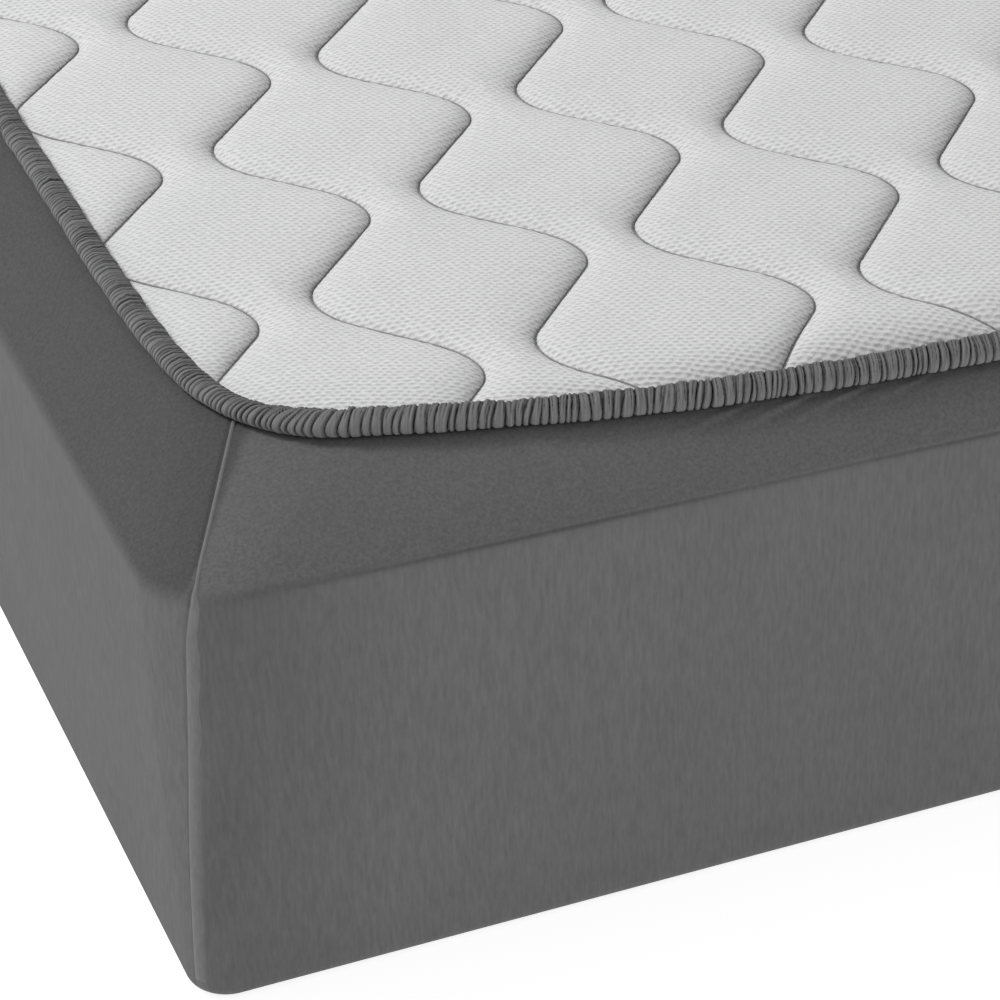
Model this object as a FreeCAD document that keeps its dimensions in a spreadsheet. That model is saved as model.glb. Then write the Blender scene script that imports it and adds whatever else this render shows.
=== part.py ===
import FreeCAD, Part
import math
import os

import Sketcher

# A foam pressure relief mattress, lying turned over in a deep fitted cover.
# +X runs along the mattress to its head end, +Y across it and +Z up.
# The origin is the middle of the face that it lies on.

os.makedirs("parts", exist_ok=True)
doc = FreeCAD.newDocument("pressure_relief_mattress")

DIMENSIONS = {
    # the whole mattress in its fitted cover
    "mattress_length": 2000,
    "mattress_width": 900,
    "corner_radius": 45,
    "base_edge_radius": 6,
    "rim_height": 195,
    "crown_height": 36.5,
    # each layer under the crown starts lower on the wall than the one over it, by a share of its depth
    "crown_foot_drop": 0.53,
    # and its upper edge lies further in, by this share of its depth
    "crown_brow_inset": 0.4,
    "seam_gap": 0.3,
    # the mouth of the fitted cover, and its hem
    "mouth_inset_end": 42,
    "mouth_inset_side": 30,
    "mouth_radius": 60,
    "cover_cloth": 1.2,
    "hem_inset_end": 48.5,
    "hem_inset_side": 36.5,
    "hem_width": 12,
    "hem_thickness": 9,
    "hem_wall": 1.6,
    "elastic_width": 6,
    "elastic_thickness": 2,
    "corner_seam_radius": 1.1,
    "corner_seam_foot": 14,
    "corner_seam_bend": 2.5,
    # how far the corner seam's middle line stands over the rim and over the mouth, in its own offsets
    "corner_seam_over_rim": 0.6,
    "corner_seam_over_mouth": 1.25,
    # the two quilted panels and the border between them
    "knit_thickness": 1.2,
    "scrim_thickness": 0.8,
    "scrim_inset": 4.5,
    "lower_panel_top": 20.7,
    "upper_panel_drop": 1.7,
    "border_thickness": 10,
    "tape_edge_radius": 3,
    # the core
    "sock_thickness": 1,
    "memory_foam_thickness": 40,
    "relief_foam_thickness": 50,
    "rail_width": 75,
    "heel_zone_length": 560,
    "torso_zone_length": 780,
    "slit_width": 4,
    "slit_depth": 30,
    "slit_spacing": 80,
    # the zip
    "zip_height": 100,
    "zip_opening": 18,
    "zip_side_length": 1880,
    "zip_length": 1760,
    "zip_tape_width": 18,
    "zip_tape_thickness": 0.8,
    "zip_tape_depth": 9.6,
    "coil_width": 3.1,
    "coil_thickness": 2.4,
    "coil_slit": 1.8,
    "stop_length": 4,
    "slider_length": 12,
    "slider_width": 11,
    "slider_plate": 1.1,
    "slider_clearance": 0.25,
    "slider_web": 1.2,
    "slider_parked_back": 8,
    "ear_height": 2.6,
    "ear_thickness": 1,
    "ear_spacing": 4.4,
    "pin_radius": 0.6,
    "pin_clearance": 0.07,
    "pull_eye_radius": 1.1,
    "pull_length": 17,
    "pull_width": 6,
    "pull_thickness": 0.8,
    "pull_hole_radius": 1.5,
}

dims = doc.addObject("Spreadsheet::Sheet", "dims")
for row, (alias, value) in enumerate(DIMENSIONS.items(), start=1):
    dims.set(f"A{row}", alias)
    dims.set(f"B{row}", str(value))
    dims.setAlias(f"B{row}", alias)
doc.recompute()

pieces = []

# differences smaller than this, in mm or cubic mm, count as none
TINY = 1e-6


def bound(text):
    """The expression with each dimension's name pointing into the sheet."""
    words = text.replace("(", " ( ").replace(")", " ) ").split()
    return " ".join(f"dims.{word}" if word in DIMENSIONS else word for word in words)


def size(text):
    """The same expression's value now, in millimetres."""
    return float(dims.evalExpression(bound(text)))


def finished(feature, label):
    """Marks a feature as a piece of the mattress, to be written under its label."""
    feature.Label = label
    pieces.append(feature)
    return feature


def origin_plane(body, role):
    return next(plane for plane in body.Origin.OriginFeatures if plane.Role == role)


def new_sketch(body, name, role="XY_Plane", offset="0"):
    sketch = body.newObject("Sketcher::SketchObject", name)
    sketch.AttachmentSupport = (origin_plane(body, role), [""])
    sketch.MapMode = "FlatFace"
    sketch.setExpression("AttachmentOffset.Base.z", bound(offset))
    return sketch


def set_length(sketch, index, name, text):
    """Names a sketch constraint and ties it to the sheet."""
    sketch.renameConstraint(index, name)
    sketch.setExpression(f"Constraints.{name}", bound(text))


def draw_rounded_rectangle(sketch, half_length, half_width, radius):
    """A rectangle centred on the sketch's origin, with round corners, from the middle of its near side."""
    x, y, r = size(half_length), size(half_width), size(radius)
    point = FreeCAD.Vector
    corners = [(x, -y, -90), (x, y, 0), (-x, y, 90), (-x, -y, 180)]
    ends = [point(0, -y, 0)]
    arcs = []
    for cx, cy, start in corners:
        centre = point(cx - math.copysign(r, cx), cy - math.copysign(r, cy), 0)
        first, last = math.radians(start), math.radians(start + 90)
        circle = Part.Circle(centre, point(0, 0, 1), r)
        arcs.append(Part.ArcOfCircle(circle, first, last))
        ends.append(arcs[-1].StartPoint)
        ends.append(arcs[-1].EndPoint)
    ends.append(ends[0])
    geometry = []
    for index in range(5):
        geometry.append(Part.LineSegment(ends[2 * index], ends[2 * index + 1]))
        if index < 4:
            geometry.append(arcs[index])
    sketch.addGeometry(geometry, False)
    link = Sketcher.Constraint
    for index in range(0, 8, 2):
        sketch.addConstraint(link("Tangent", index, 2, index + 1, 1))
        sketch.addConstraint(link("Tangent", index + 1, 2, index + 2, 1))
    sketch.addConstraint(link("Coincident", 8, 2, 0, 1))
    sketch.addConstraint([link("Horizontal", 0), link("Horizontal", 4), link("Horizontal", 8)])
    sketch.addConstraint([link("Vertical", 2), link("Vertical", 6)])
    sketch.addConstraint([link("Equal", 1, index) for index in (3, 5, 7)])
    sketch.addConstraint(link("PointOnObject", 0, 1, -2))
    set_length(sketch, sketch.addConstraint(link("Radius", 1, r)), "corner", radius)
    set_length(sketch, sketch.addConstraint(link("DistanceX", -1, 1, 2, 1, x)), "right", half_length)
    set_length(sketch, sketch.addConstraint(link("DistanceX", 6, 1, -1, 1, x)), "left", half_length)
    set_length(sketch, sketch.addConstraint(link("DistanceY", -1, 1, 4, 1, y)), "back", half_width)
    set_length(sketch, sketch.addConstraint(link("DistanceY", 0, 1, -1, 1, y)), "front", half_width)


def draw_rectangle(sketch, low_x, high_x, low_y, high_y, name="edge"):
    """A rectangle between the given distances from the sketch's origin."""
    texts = (low_x, high_x, low_y, high_y)
    x0, x1, y0, y1 = [size(text) for text in texts]
    corners = [FreeCAD.Vector(x, y, 0) for x, y in ((x0, y0), (x1, y0), (x1, y1), (x0, y1))]
    first = sketch.GeometryCount
    for index in range(4):
        sketch.addGeometry(Part.LineSegment(corners[index], corners[(index + 1) % 4]), False)
    link = Sketcher.Constraint
    for index in range(4):
        sketch.addConstraint(link("Coincident", first + index, 2, first + (index + 1) % 4, 1))
        sketch.addConstraint(link("Horizontal" if index % 2 == 0 else "Vertical", first + index))
    places = [("DistanceX", first, 1, x0), ("DistanceX", first, 2, x1)]
    places += [("DistanceY", first, 1, y0), ("DistanceY", first + 2, 1, y1)]
    for (kind, line, end, value), text, side in zip(places, texts, ("low_x", "high_x", "low_y", "high_y")):
        index = sketch.addConstraint(link(kind, -1, 1, line, end, value))
        set_length(sketch, index, f"{name}_{side}", text)


def pad(body, sketch, height, name):
    feature = body.newObject("PartDesign::Pad", name)
    feature.Profile = sketch
    feature.setExpression("Length", bound(height))
    sketch.Visibility = False
    return feature


def pocket(body, sketch, depth, name):
    """Cuts a sketch into its body on whichever side of the sketch the body lies."""
    doc.recompute()
    before = body.Shape.Volume
    feature = body.newObject("PartDesign::Pocket", name)
    feature.Profile = sketch
    feature.setExpression("Length", bound(depth))
    doc.recompute()
    if before - body.Shape.Volume < TINY or not feature.isValid():
        feature.Reversed = True
        doc.recompute()
    if before - body.Shape.Volume < TINY:
        raise RuntimeError(f"{name} cuts nothing from {body.Label}")
    return feature


def slab_body(name, inset, bottom, top):
    """A flat block with the mattress's plan, its walls set in by inset, between two heights."""
    body = doc.addObject("PartDesign::Body", name)
    outline = new_sketch(body, f"{name}_outline", offset=bottom)
    draw_rounded_rectangle(
        outline,
        f"mattress_length / 2 - ( {inset} )",
        f"mattress_width / 2 - ( {inset} )",
        f"corner_radius - ( {inset} )",
    )
    pad(body, outline, f"( {top} ) - ( {bottom} )", f"{name}_block")
    doc.recompute()
    return body


def round_base(body, height, radius):
    """Rounds the lowest edges of a body."""
    shape = body.Shape
    low = [
        f"Edge{number}"
        for number, edge in enumerate(shape.Edges, start=1)
        if abs(edge.BoundBox.ZMax - size(height)) < TINY
    ]
    block = body.Tip
    fillet = body.newObject("PartDesign::Fillet", f"{body.Name}_base_round")
    fillet.Base = (block, low)
    fillet.setExpression("Radius", bound(radius))
    body.Tip = fillet
    doc.recompute()
    return fillet


def crowned_body(name, depth):
    """The whole mattress, a depth inside its surface: upright walls, a rounded base, a sloped crown."""
    rim = f"rim_height - crown_foot_drop * ( {depth} )"
    body = slab_body(name, depth, depth, rim)
    round_base(body, depth, f"base_edge_radius - ( {depth} )")
    foot = new_sketch(body, f"{name}_crown_foot", offset=rim)
    draw_rounded_rectangle(
        foot,
        f"mattress_length / 2 - ( {depth} )",
        f"mattress_width / 2 - ( {depth} )",
        f"corner_radius - ( {depth} )",
    )
    brow = new_sketch(body, f"{name}_crown_brow", offset=f"rim_height + crown_height - ( {depth} )")
    draw_rounded_rectangle(
        brow,
        f"mattress_length / 2 - mouth_inset_end - crown_brow_inset * ( {depth} )",
        f"mattress_width / 2 - mouth_inset_side - crown_brow_inset * ( {depth} )",
        "mouth_radius",
    )
    crown = body.newObject("PartDesign::AdditiveLoft", f"{name}_crown")
    crown.Profile = foot
    crown.Sections = [brow]
    crown.Ruled = True
    body.Tip = crown
    doc.recompute()
    return body


def box(name, low_x, high_x, low_y, high_y, low_z, high_z):
    """A Part::Box between the given places, all tied to the sheet."""
    solid = doc.addObject("Part::Box", name)
    solid.setExpression("Length", bound(f"( {high_x} ) - ( {low_x} )"))
    solid.setExpression("Width", bound(f"( {high_y} ) - ( {low_y} )"))
    solid.setExpression("Height", bound(f"( {high_z} ) - ( {low_z} )"))
    solid.setExpression("Placement.Base.x", bound(low_x))
    solid.setExpression("Placement.Base.y", bound(low_y))
    solid.setExpression("Placement.Base.z", bound(low_z))
    return solid


def cut(name, base, tool):
    feature = doc.addObject("Part::Cut", name)
    feature.Base = base
    feature.Tool = tool
    return feature


def ring_pipe(name, inset_side, inset_end, radius, height, draw_profile):
    """A closed pipe round the mattress, at one height, with the profile drawn by draw_profile."""
    body = doc.addObject("PartDesign::Body", name)
    path = new_sketch(body, f"{name}_path", offset=height)
    half_length = f"mattress_length / 2 - ( {inset_end} )"
    half_width = f"mattress_width / 2 - ( {inset_side} )"
    draw_rounded_rectangle(path, half_length, half_width, radius)
    section = new_sketch(body, f"{name}_section", role="YZ_Plane")
    draw_profile(section, f"-1 * ( {half_width} )", height)
    doc.recompute()
    pipe = body.newObject("PartDesign::AdditivePipe", f"{name}_sweep")
    pipe.Profile = section
    pipe.Spine = path
    body.Tip = pipe
    doc.recompute()
    return body


def fix_centre(sketch, curve, across, up):
    """Ties the centre of a circle or an ellipse to the sheet."""
    for kind, text, word in (("DistanceX", across, "across"), ("DistanceY", up, "up")):
        index = sketch.addConstraint(Sketcher.Constraint(kind, -1, 1, curve, 3, size(text)))
        set_length(sketch, index, f"{word}_{curve}", text)


def draw_bead(sketch, across, up):
    """The round section of a taped edge."""
    centre = FreeCAD.Vector(size(across), size(up), 0)
    radius = size("tape_edge_radius")
    sketch.addGeometry(Part.Circle(centre, FreeCAD.Vector(0, 0, 1), radius), False)
    fix_centre(sketch, 0, across, up)
    index = sketch.addConstraint(Sketcher.Constraint("Radius", 0, radius))
    set_length(sketch, index, "bead_radius", "tape_edge_radius")


def draw_oval(sketch, across, up, wall):
    """The oval section of the hem's casing, a wall's thickness inside its outer surface."""
    centre = FreeCAD.Vector(size(across), size(up), 0)
    half_width = f"hem_width / 2 - {wall}"
    half_thickness = f"hem_thickness / 2 - {wall}"
    wide = centre + FreeCAD.Vector(size(half_width), 0, 0)
    high = centre + FreeCAD.Vector(0, size(half_thickness), 0)
    sketch.addGeometry(Part.Ellipse(wide, high, centre), False)
    sketch.exposeInternalGeometry(0)
    fix_centre(sketch, 0, across, up)
    link = Sketcher.Constraint
    for axis, name, half, kind in (
        (1, "oval_width", half_width, "Horizontal"),
        (2, "oval_thickness", half_thickness, "Vertical"),
    ):
        index = sketch.addConstraint(link("Distance", axis, 1, axis, 2, size(f"2 * ( {half} )")))
        set_length(sketch, index, name, f"2 * ( {half} )")
        if kind == "Horizontal":
            sketch.addConstraint(link(kind, axis))


def draw_casing_outside(sketch, across, up):
    draw_oval(sketch, across, up, "0")


def draw_casing_inside(sketch, across, up):
    draw_oval(sketch, across, up, "hem_wall")


def draw_elastic(sketch, across, up):
    """The flat section of the elastic, in the middle of the casing."""
    draw_rectangle(
        sketch,
        f"{across} - elastic_width / 2",
        f"{across} + elastic_width / 2",
        f"{up} - elastic_thickness / 2",
        f"{up} + elastic_thickness / 2",
    )


# ---- the fitted cover -------------------------------------------------------------------------------


def make_fitted_cover():
    """One piece of cloth: a base, four sides, and a lip that slopes in over the rim to the mouth."""
    outer = crowned_body("cover_outside", "0")
    inner = crowned_body("cover_inside", "cover_cloth")
    shell = cut("cover_shell", outer, inner)
    mouth = doc.addObject("PartDesign::Body", "cover_mouth")
    outline = new_sketch(mouth, "cover_mouth_outline", offset="rim_height")
    draw_rounded_rectangle(
        outline,
        "mattress_length / 2 - mouth_inset_end",
        "mattress_width / 2 - mouth_inset_side",
        "mouth_radius",
    )
    pad(mouth, outline, "2 * crown_height", "cover_mouth_block")
    finished(cut("fitted_cover", shell, mouth), "fitted_cover")


def make_corner_seam(name, along, across):
    """The seam up one corner of the cover: it climbs the corner and follows the lip to the mouth."""
    radius = size("corner_seam_radius")
    proud = radius + size("seam_gap")
    diagonal = 1 - math.sqrt(0.5)
    corner = size("corner_radius") * diagonal
    mouth = size("mouth_radius") * diagonal
    outward = math.sqrt(0.5) * proud
    wall_x = size("mattress_length / 2") - corner + outward
    wall_y = size("mattress_width / 2") - corner + outward
    mouth_x = size("mattress_length / 2 - mouth_inset_end") - mouth
    mouth_y = size("mattress_width / 2 - mouth_inset_side") - mouth
    rim = size("rim_height") + size("corner_seam_over_rim") * proud
    brow = size("rim_height + crown_height") + size("corner_seam_over_mouth") * proud
    foot = FreeCAD.Vector(along * wall_x, across * wall_y, size("corner_seam_foot"))
    bend = FreeCAD.Vector(along * wall_x, across * wall_y, rim)
    end = FreeCAD.Vector(along * mouth_x, across * mouth_y, brow)
    climb = FreeCAD.Vector(0, 0, 1)
    slope = (end - bend).normalize()
    back = size("corner_seam_bend")
    before = bend - climb * back
    after = bend + slope * back
    half_turn = climb.getAngle(slope) / 2
    inward = (slope - climb).normalize()
    middle = bend + inward * (back / math.tan(half_turn) * (1 / math.cos(half_turn) - 1))
    path = Part.Wire(
        [
            Part.LineSegment(foot, before).toShape(),
            Part.Arc(before, middle, after).toShape(),
            Part.LineSegment(after, end).toShape(),
        ]
    )
    section = Part.Wire([Part.Circle(foot, FreeCAD.Vector(0, 0, 1), radius).toShape()])
    feature = doc.addObject("Part::Feature", name)
    feature.Shape = path.makePipeShell([section], True, False)
    finished(feature, name)


def make_corner_seams():
    for name, along, across in (
        ("corner_seam_foot_front", -1, -1),
        ("corner_seam_foot_back", -1, 1),
        ("corner_seam_head_front", 1, -1),
        ("corner_seam_head_back", 1, 1),
    ):
        make_corner_seam(name, along, across)


def make_hem():
    """The gathered casing round the mouth, lying on the quilted face, and the elastic in it."""
    height = "rim_height + crown_height - cover_cloth + hem_thickness / 2"
    sweep = ("hem_inset_side", "hem_inset_end", "mouth_radius - hem_width / 2", height)
    outside = ring_pipe("hem_outside", *sweep, draw_casing_outside)
    inside = ring_pipe("hem_inside", *sweep, draw_casing_inside)
    finished(cut("hem_casing", outside, inside), "hem_casing")
    finished(ring_pipe("hem_elastic", *sweep, draw_elastic), "hem_elastic")


# ---- the quilted mattress cover ---------------------------------------------------------------------

KNIT_OUTSIDE = "cover_cloth + seam_gap"
KNIT_INSIDE = f"{KNIT_OUTSIDE} + knit_thickness"
WADDING_OUTSIDE = f"{KNIT_INSIDE} + seam_gap"
UPPER_PANEL_BASE = "rim_height - upper_panel_drop"
SCRIM_TOP = f"{UPPER_PANEL_BASE} + scrim_thickness"
TAPE_INSET = f"{KNIT_OUTSIDE} + tape_edge_radius"
UPPER_TAPE_HEIGHT = f"{UPPER_PANEL_BASE} - seam_gap - tape_edge_radius"
LOWER_TAPE_HEIGHT = "lower_panel_top + seam_gap + tape_edge_radius"
BORDER_TOP = f"{UPPER_TAPE_HEIGHT} - tape_edge_radius - seam_gap"
BORDER_BASE = f"{LOWER_TAPE_HEIGHT} + tape_edge_radius + seam_gap"
BORDER_INSIDE = f"{KNIT_OUTSIDE} + border_thickness"


def slice_above(name, solid, height):
    """What is left of a solid above a height."""
    below = box(
        f"{name}_below", "-1 * mattress_length", "mattress_length", "-1 * mattress_width", "mattress_width",
        "-1 * rim_height", height,
    )
    return cut(name, solid, below)


def make_upper_panel():
    """The quilted face that shows in the mouth: knit over wadding over scrim, thinning out to the rim."""
    outside = crowned_body("upper_knit_outside", KNIT_OUTSIDE)
    inside = crowned_body("upper_knit_inside", KNIT_INSIDE)
    skin = cut("upper_knit_skin", outside, inside)
    finished(slice_above("upper_quilt_knit", skin, UPPER_PANEL_BASE), "upper_quilt_knit")
    filling = crowned_body("upper_filling", WADDING_OUTSIDE)
    base = f"{SCRIM_TOP} + seam_gap"
    finished(slice_above("upper_quilt_wadding", filling, base), "upper_quilt_wadding")
    scrim = slab_body("upper_quilt_scrim", "scrim_inset", UPPER_PANEL_BASE, SCRIM_TOP)
    finished(scrim, "upper_quilt_scrim")


def make_lower_panel():
    """The sleeping face, underneath: knit under wadding under scrim, with round lower edges."""
    outside = slab_body("lower_knit_outside", KNIT_OUTSIDE, KNIT_OUTSIDE, "lower_panel_top")
    round_base(outside, KNIT_OUTSIDE, f"base_edge_radius - ( {KNIT_OUTSIDE} )")
    inside = slab_body("lower_knit_inside", KNIT_INSIDE, KNIT_INSIDE, "lower_panel_top + knit_thickness")
    round_base(inside, KNIT_INSIDE, f"base_edge_radius - ( {KNIT_INSIDE} )")
    finished(cut("lower_quilt_knit", outside, inside), "lower_quilt_knit")
    filling_top = "lower_panel_top - scrim_thickness - 2 * seam_gap"
    filling = slab_body("lower_quilt_wadding", WADDING_OUTSIDE, WADDING_OUTSIDE, filling_top)
    round_base(filling, WADDING_OUTSIDE, f"base_edge_radius - ( {WADDING_OUTSIDE} )")
    finished(filling, "lower_quilt_wadding")
    scrim_base = "lower_panel_top - scrim_thickness - seam_gap"
    scrim = slab_body("lower_quilt_scrim", "scrim_inset", scrim_base, "lower_panel_top - seam_gap")
    finished(scrim, "lower_quilt_scrim")


def make_tape_edges():
    """The bound edge between each panel and the border."""
    for name, height in (("upper_edge_tape", UPPER_TAPE_HEIGHT), ("lower_edge_tape", LOWER_TAPE_HEIGHT)):
        radius = f"corner_radius - ( {TAPE_INSET} )"
        finished(ring_pipe(name, TAPE_INSET, TAPE_INSET, radius, height, draw_bead), name)


def make_border():
    """The quilted border: one strip round the front and both ends, and two above and below the zip."""
    outside = slab_body("border_outside", KNIT_OUTSIDE, BORDER_BASE, BORDER_TOP)
    inside = slab_body("border_inside", BORDER_INSIDE, BORDER_BASE, BORDER_TOP)
    ring = cut("border_ring", outside, inside)
    zip_side = box(
        "border_zip_side", "-1 * zip_side_length / 2", "zip_side_length / 2", "0", "mattress_width",
        "0", "rim_height",
    )
    finished(cut("border_strip", ring, zip_side), "border_strip")
    end = "zip_side_length / 2 - seam_gap"
    front = "mattress_width / 2 - zip_tape_depth + seam_gap"
    back = f"mattress_width / 2 - ( {KNIT_OUTSIDE} )"
    strips = (
        ("zip_border_upper", "zip_height + zip_opening / 2", BORDER_TOP),
        ("zip_border_lower", BORDER_BASE, "zip_height - zip_opening / 2"),
    )
    for name, low, high in strips:
        strip = box(name, f"-1 * ( {end} )", end, f"{front} + seam_gap", back, low, high)
        finished(strip, name)


# ---- the zip ----------------------------------------------------------------------------------------

# the tapes' outer face, which the coils are sewn to
ZIP_FACE = "mattress_width / 2 - zip_tape_depth + seam_gap"
TAPE_BACK = f"{ZIP_FACE} - zip_tape_thickness"
COIL_FRONT = f"{ZIP_FACE} + coil_thickness"
PARKED = "zip_length / 2 - slider_parked_back"


def make_zip_halves():
    """Two tapes and two coils, with the slider's web between them."""
    half = "zip_length / 2"
    tape_end = "zip_side_length / 2 - 4 * stop_length"
    for side, sign in (("upper", "1"), ("lower", "-1")):
        near = f"zip_height + {sign} * coil_slit / 2"
        tape_far = f"{near} + {sign} * zip_tape_width"
        coil_far = f"{near} + {sign} * coil_width"
        low, high = (near, tape_far) if sign == "1" else (tape_far, near)
        tape = box(f"zip_tape_{side}", f"-1 * ( {tape_end} )", tape_end, TAPE_BACK, ZIP_FACE, low, high)
        finished(tape, f"zip_tape_{side}")
        low, high = (near, coil_far) if sign == "1" else (coil_far, near)
        coil = box(f"zip_coil_{side}", f"-1 * {half}", half, ZIP_FACE, COIL_FRONT, low, high)
        finished(coil, f"zip_coil_{side}")


def make_zip_stops():
    """A stop clipped to each tape above the slider, and one across both below it."""
    start = "zip_length / 2 + seam_gap"
    end = f"{start} + stop_length"
    front = f"{COIL_FRONT} + seam_gap"
    clips = []
    for side, low, high in (
        ("upper", "zip_height + coil_slit / 2", "zip_height + coil_slit / 2 + coil_width"),
        ("lower", "zip_height - coil_slit / 2 - coil_width", "zip_height - coil_slit / 2"),
    ):
        clips.append(box(f"zip_top_stop_{side}", start, end, ZIP_FACE, front, low, high))
    pair = doc.addObject("Part::Compound", "zip_top_stops")
    pair.Links = clips
    finished(pair, "zip_top_stops")
    reach = "( coil_slit / 2 + coil_width )"
    bar = box(
        "zip_bottom_stop", f"-1 * ( {end} )", f"-1 * ( {start} )", ZIP_FACE, front,
        f"zip_height - {reach}", f"zip_height + {reach}",
    )
    finished(bar, "zip_bottom_stop")


def place_on_zip(body):
    """Puts a body's own origin on the tapes' face, where the slider is parked."""
    body.setExpression("Placement.Base.x", bound(PARKED))
    body.setExpression("Placement.Base.y", bound(ZIP_FACE))
    body.setExpression("Placement.Base.z", bound("zip_height"))


# heights above the tapes' face, in the slider's own frame
PLATE_INNER_BASE = "-1 * zip_tape_thickness - slider_clearance - slider_plate"
PLATE_OUTER_BASE = "coil_thickness + slider_clearance"
PLATE_OUTER_TOP = f"{PLATE_OUTER_BASE} + slider_plate"
PIN_HEIGHT = f"{PLATE_OUTER_TOP} + seam_gap + pull_eye_radius"
PIN_PLACE = "slider_length / 2 - ear_height"


def zip_block(body, name, low_x, high_x, low_z, high_z, base, top):
    """A block on the slider, drawn on the plane of the tapes and raised away from the mattress."""
    outline = new_sketch(body, f"{name}_outline", role="XZ_Plane", offset=f"-1 * ( {top} )")
    draw_rectangle(outline, low_x, high_x, low_z, high_z)
    pad(body, outline, f"( {top} ) - ( {base} )", name)
    doc.recompute()


def make_zip_slider():
    """Two plates joined by a web between the coils, with flanges and the pull's ears and pin."""
    body = doc.addObject("PartDesign::Body", "zip_slider")
    half = "slider_length / 2"
    side = "slider_width / 2"
    plate = (f"-1 * {half}", half, f"-1 * {side}", side)
    web = (f"{half} - slider_length / 3", half, "-1 * slider_web / 2", "slider_web / 2")
    zip_block(body, "inner_plate", *plate, PLATE_INNER_BASE, f"{PLATE_INNER_BASE} + slider_plate")
    zip_block(body, "web", *web, PLATE_INNER_BASE, PLATE_OUTER_TOP)
    zip_block(body, "outer_plate", *plate, PLATE_OUTER_BASE, PLATE_OUTER_TOP)
    inside = "coil_slit / 2 + coil_width + slider_clearance"
    flanges = ((inside, side), (f"-1 * {side}", f"-1 * ( {inside} )"))
    for index, (low, high) in enumerate(flanges, start=1):
        zip_block(
            body, f"flange_{index}", f"-1 * {half}", half, low, high, "slider_clearance",
            PLATE_OUTER_TOP,
        )
    ear_x = (f"{PIN_PLACE} - ear_height / 2", f"{PIN_PLACE} + ear_height / 2")
    gap = "ear_spacing / 2"
    ears = ((gap, f"{gap} + ear_thickness"), (f"-1 * {gap} - ear_thickness", f"-1 * {gap}"))
    for index, (low, high) in enumerate(ears, start=1):
        zip_block(
            body, f"ear_{index}", *ear_x, low, high, PLATE_OUTER_BASE,
            f"{PIN_HEIGHT} + pull_eye_radius - pin_radius / 2",
        )
    pin = new_sketch(body, "pin_outline", offset=f"-1 * ( {gap} ) - ear_thickness / 2")
    centre = FreeCAD.Vector(size(PIN_PLACE), size(PIN_HEIGHT), 0)
    pin.addGeometry(Part.Circle(centre, FreeCAD.Vector(0, 0, 1), size("pin_radius")), False)
    fix_centre(pin, 0, PIN_PLACE, PIN_HEIGHT)
    index = pin.addConstraint(Sketcher.Constraint("Radius", 0, size("pin_radius")))
    set_length(pin, index, "pin", "pin_radius")
    pad(body, pin, "ear_spacing + ear_thickness", "pin")
    place_on_zip(body)
    finished(body, "zip_slider")


def make_zip_pull():
    """The flat pull tab, with an eye round the slider's pin and a hole in its free end."""
    body = doc.addObject("PartDesign::Body", "zip_pull")
    eye_half = "ear_spacing / 2 - seam_gap"
    eye = new_sketch(body, "eye_outline", offset=f"-1 * ( {eye_half} )")
    centre = FreeCAD.Vector(size(PIN_PLACE), size(PIN_HEIGHT), 0)
    eye.addGeometry(Part.Circle(centre, FreeCAD.Vector(0, 0, 1), size("pull_eye_radius")), False)
    fix_centre(eye, 0, PIN_PLACE, PIN_HEIGHT)
    index = eye.addConstraint(Sketcher.Constraint("Radius", 0, size("pull_eye_radius")))
    set_length(eye, index, "eye", "pull_eye_radius")
    pad(body, eye, f"2 * ( {eye_half} )", "eye")
    doc.recompute()
    base = f"{PIN_HEIGHT} - pull_eye_radius"
    top = f"{base} + pull_thickness"
    tip = f"{PIN_PLACE} - pull_length"
    neck = f"{PIN_PLACE} - 2 * pull_eye_radius"
    zip_block(body, "neck", neck, PIN_PLACE, f"-1 * ( {eye_half} )", eye_half, base, top)
    zip_block(body, "tab", tip, neck, "-1 * pull_width / 2", "pull_width / 2", base, top)
    bore = new_sketch(body, "bore_outline", offset=f"-1 * ( {eye_half} )")
    bore_radius = "pin_radius + pin_clearance"
    bore.addGeometry(Part.Circle(centre, FreeCAD.Vector(0, 0, 1), size(bore_radius)), False)
    fix_centre(bore, 0, PIN_PLACE, PIN_HEIGHT)
    index = bore.addConstraint(Sketcher.Constraint("Radius", 0, size(bore_radius)))
    set_length(bore, index, "bore", bore_radius)
    pocket(body, bore, f"2 * ( {eye_half} )", "bore")
    hole = new_sketch(body, "hole_outline", role="XZ_Plane", offset=f"-1 * ( {top} )")
    hole_place = f"{tip} + 2 * pull_hole_radius"
    hole_centre = FreeCAD.Vector(size(hole_place), 0, 0)
    hole.addGeometry(Part.Circle(hole_centre, FreeCAD.Vector(0, 0, 1), size("pull_hole_radius")), False)
    fix_centre(hole, 0, hole_place, "0")
    index = hole.addConstraint(Sketcher.Constraint("Radius", 0, size("pull_hole_radius")))
    set_length(hole, index, "hole", "pull_hole_radius")
    pocket(body, hole, "2 * pull_thickness", "hole")
    place_on_zip(body)
    finished(body, "zip_pull")


# ---- the core ---------------------------------------------------------------------------------------

SOCK_INSET = f"{BORDER_INSIDE} + seam_gap"
SOCK_BASE = "lower_panel_top"
SOCK_TOP = f"{UPPER_PANEL_BASE} - seam_gap"
FOAM_INSET = f"{SOCK_INSET} + sock_thickness + seam_gap"
FOAM_BASE = f"{SOCK_BASE} + sock_thickness + seam_gap"
FOAM_TOP = f"{SOCK_TOP} - sock_thickness - seam_gap"
RELIEF_BASE = f"{FOAM_BASE} + memory_foam_thickness + seam_gap"
RELIEF_TOP = f"{RELIEF_BASE} + relief_foam_thickness"
CORE_END = f"mattress_length / 2 - ( {FOAM_INSET} )"
CORE_SIDE = f"mattress_width / 2 - ( {FOAM_INSET} ) - rail_width - seam_gap"


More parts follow.
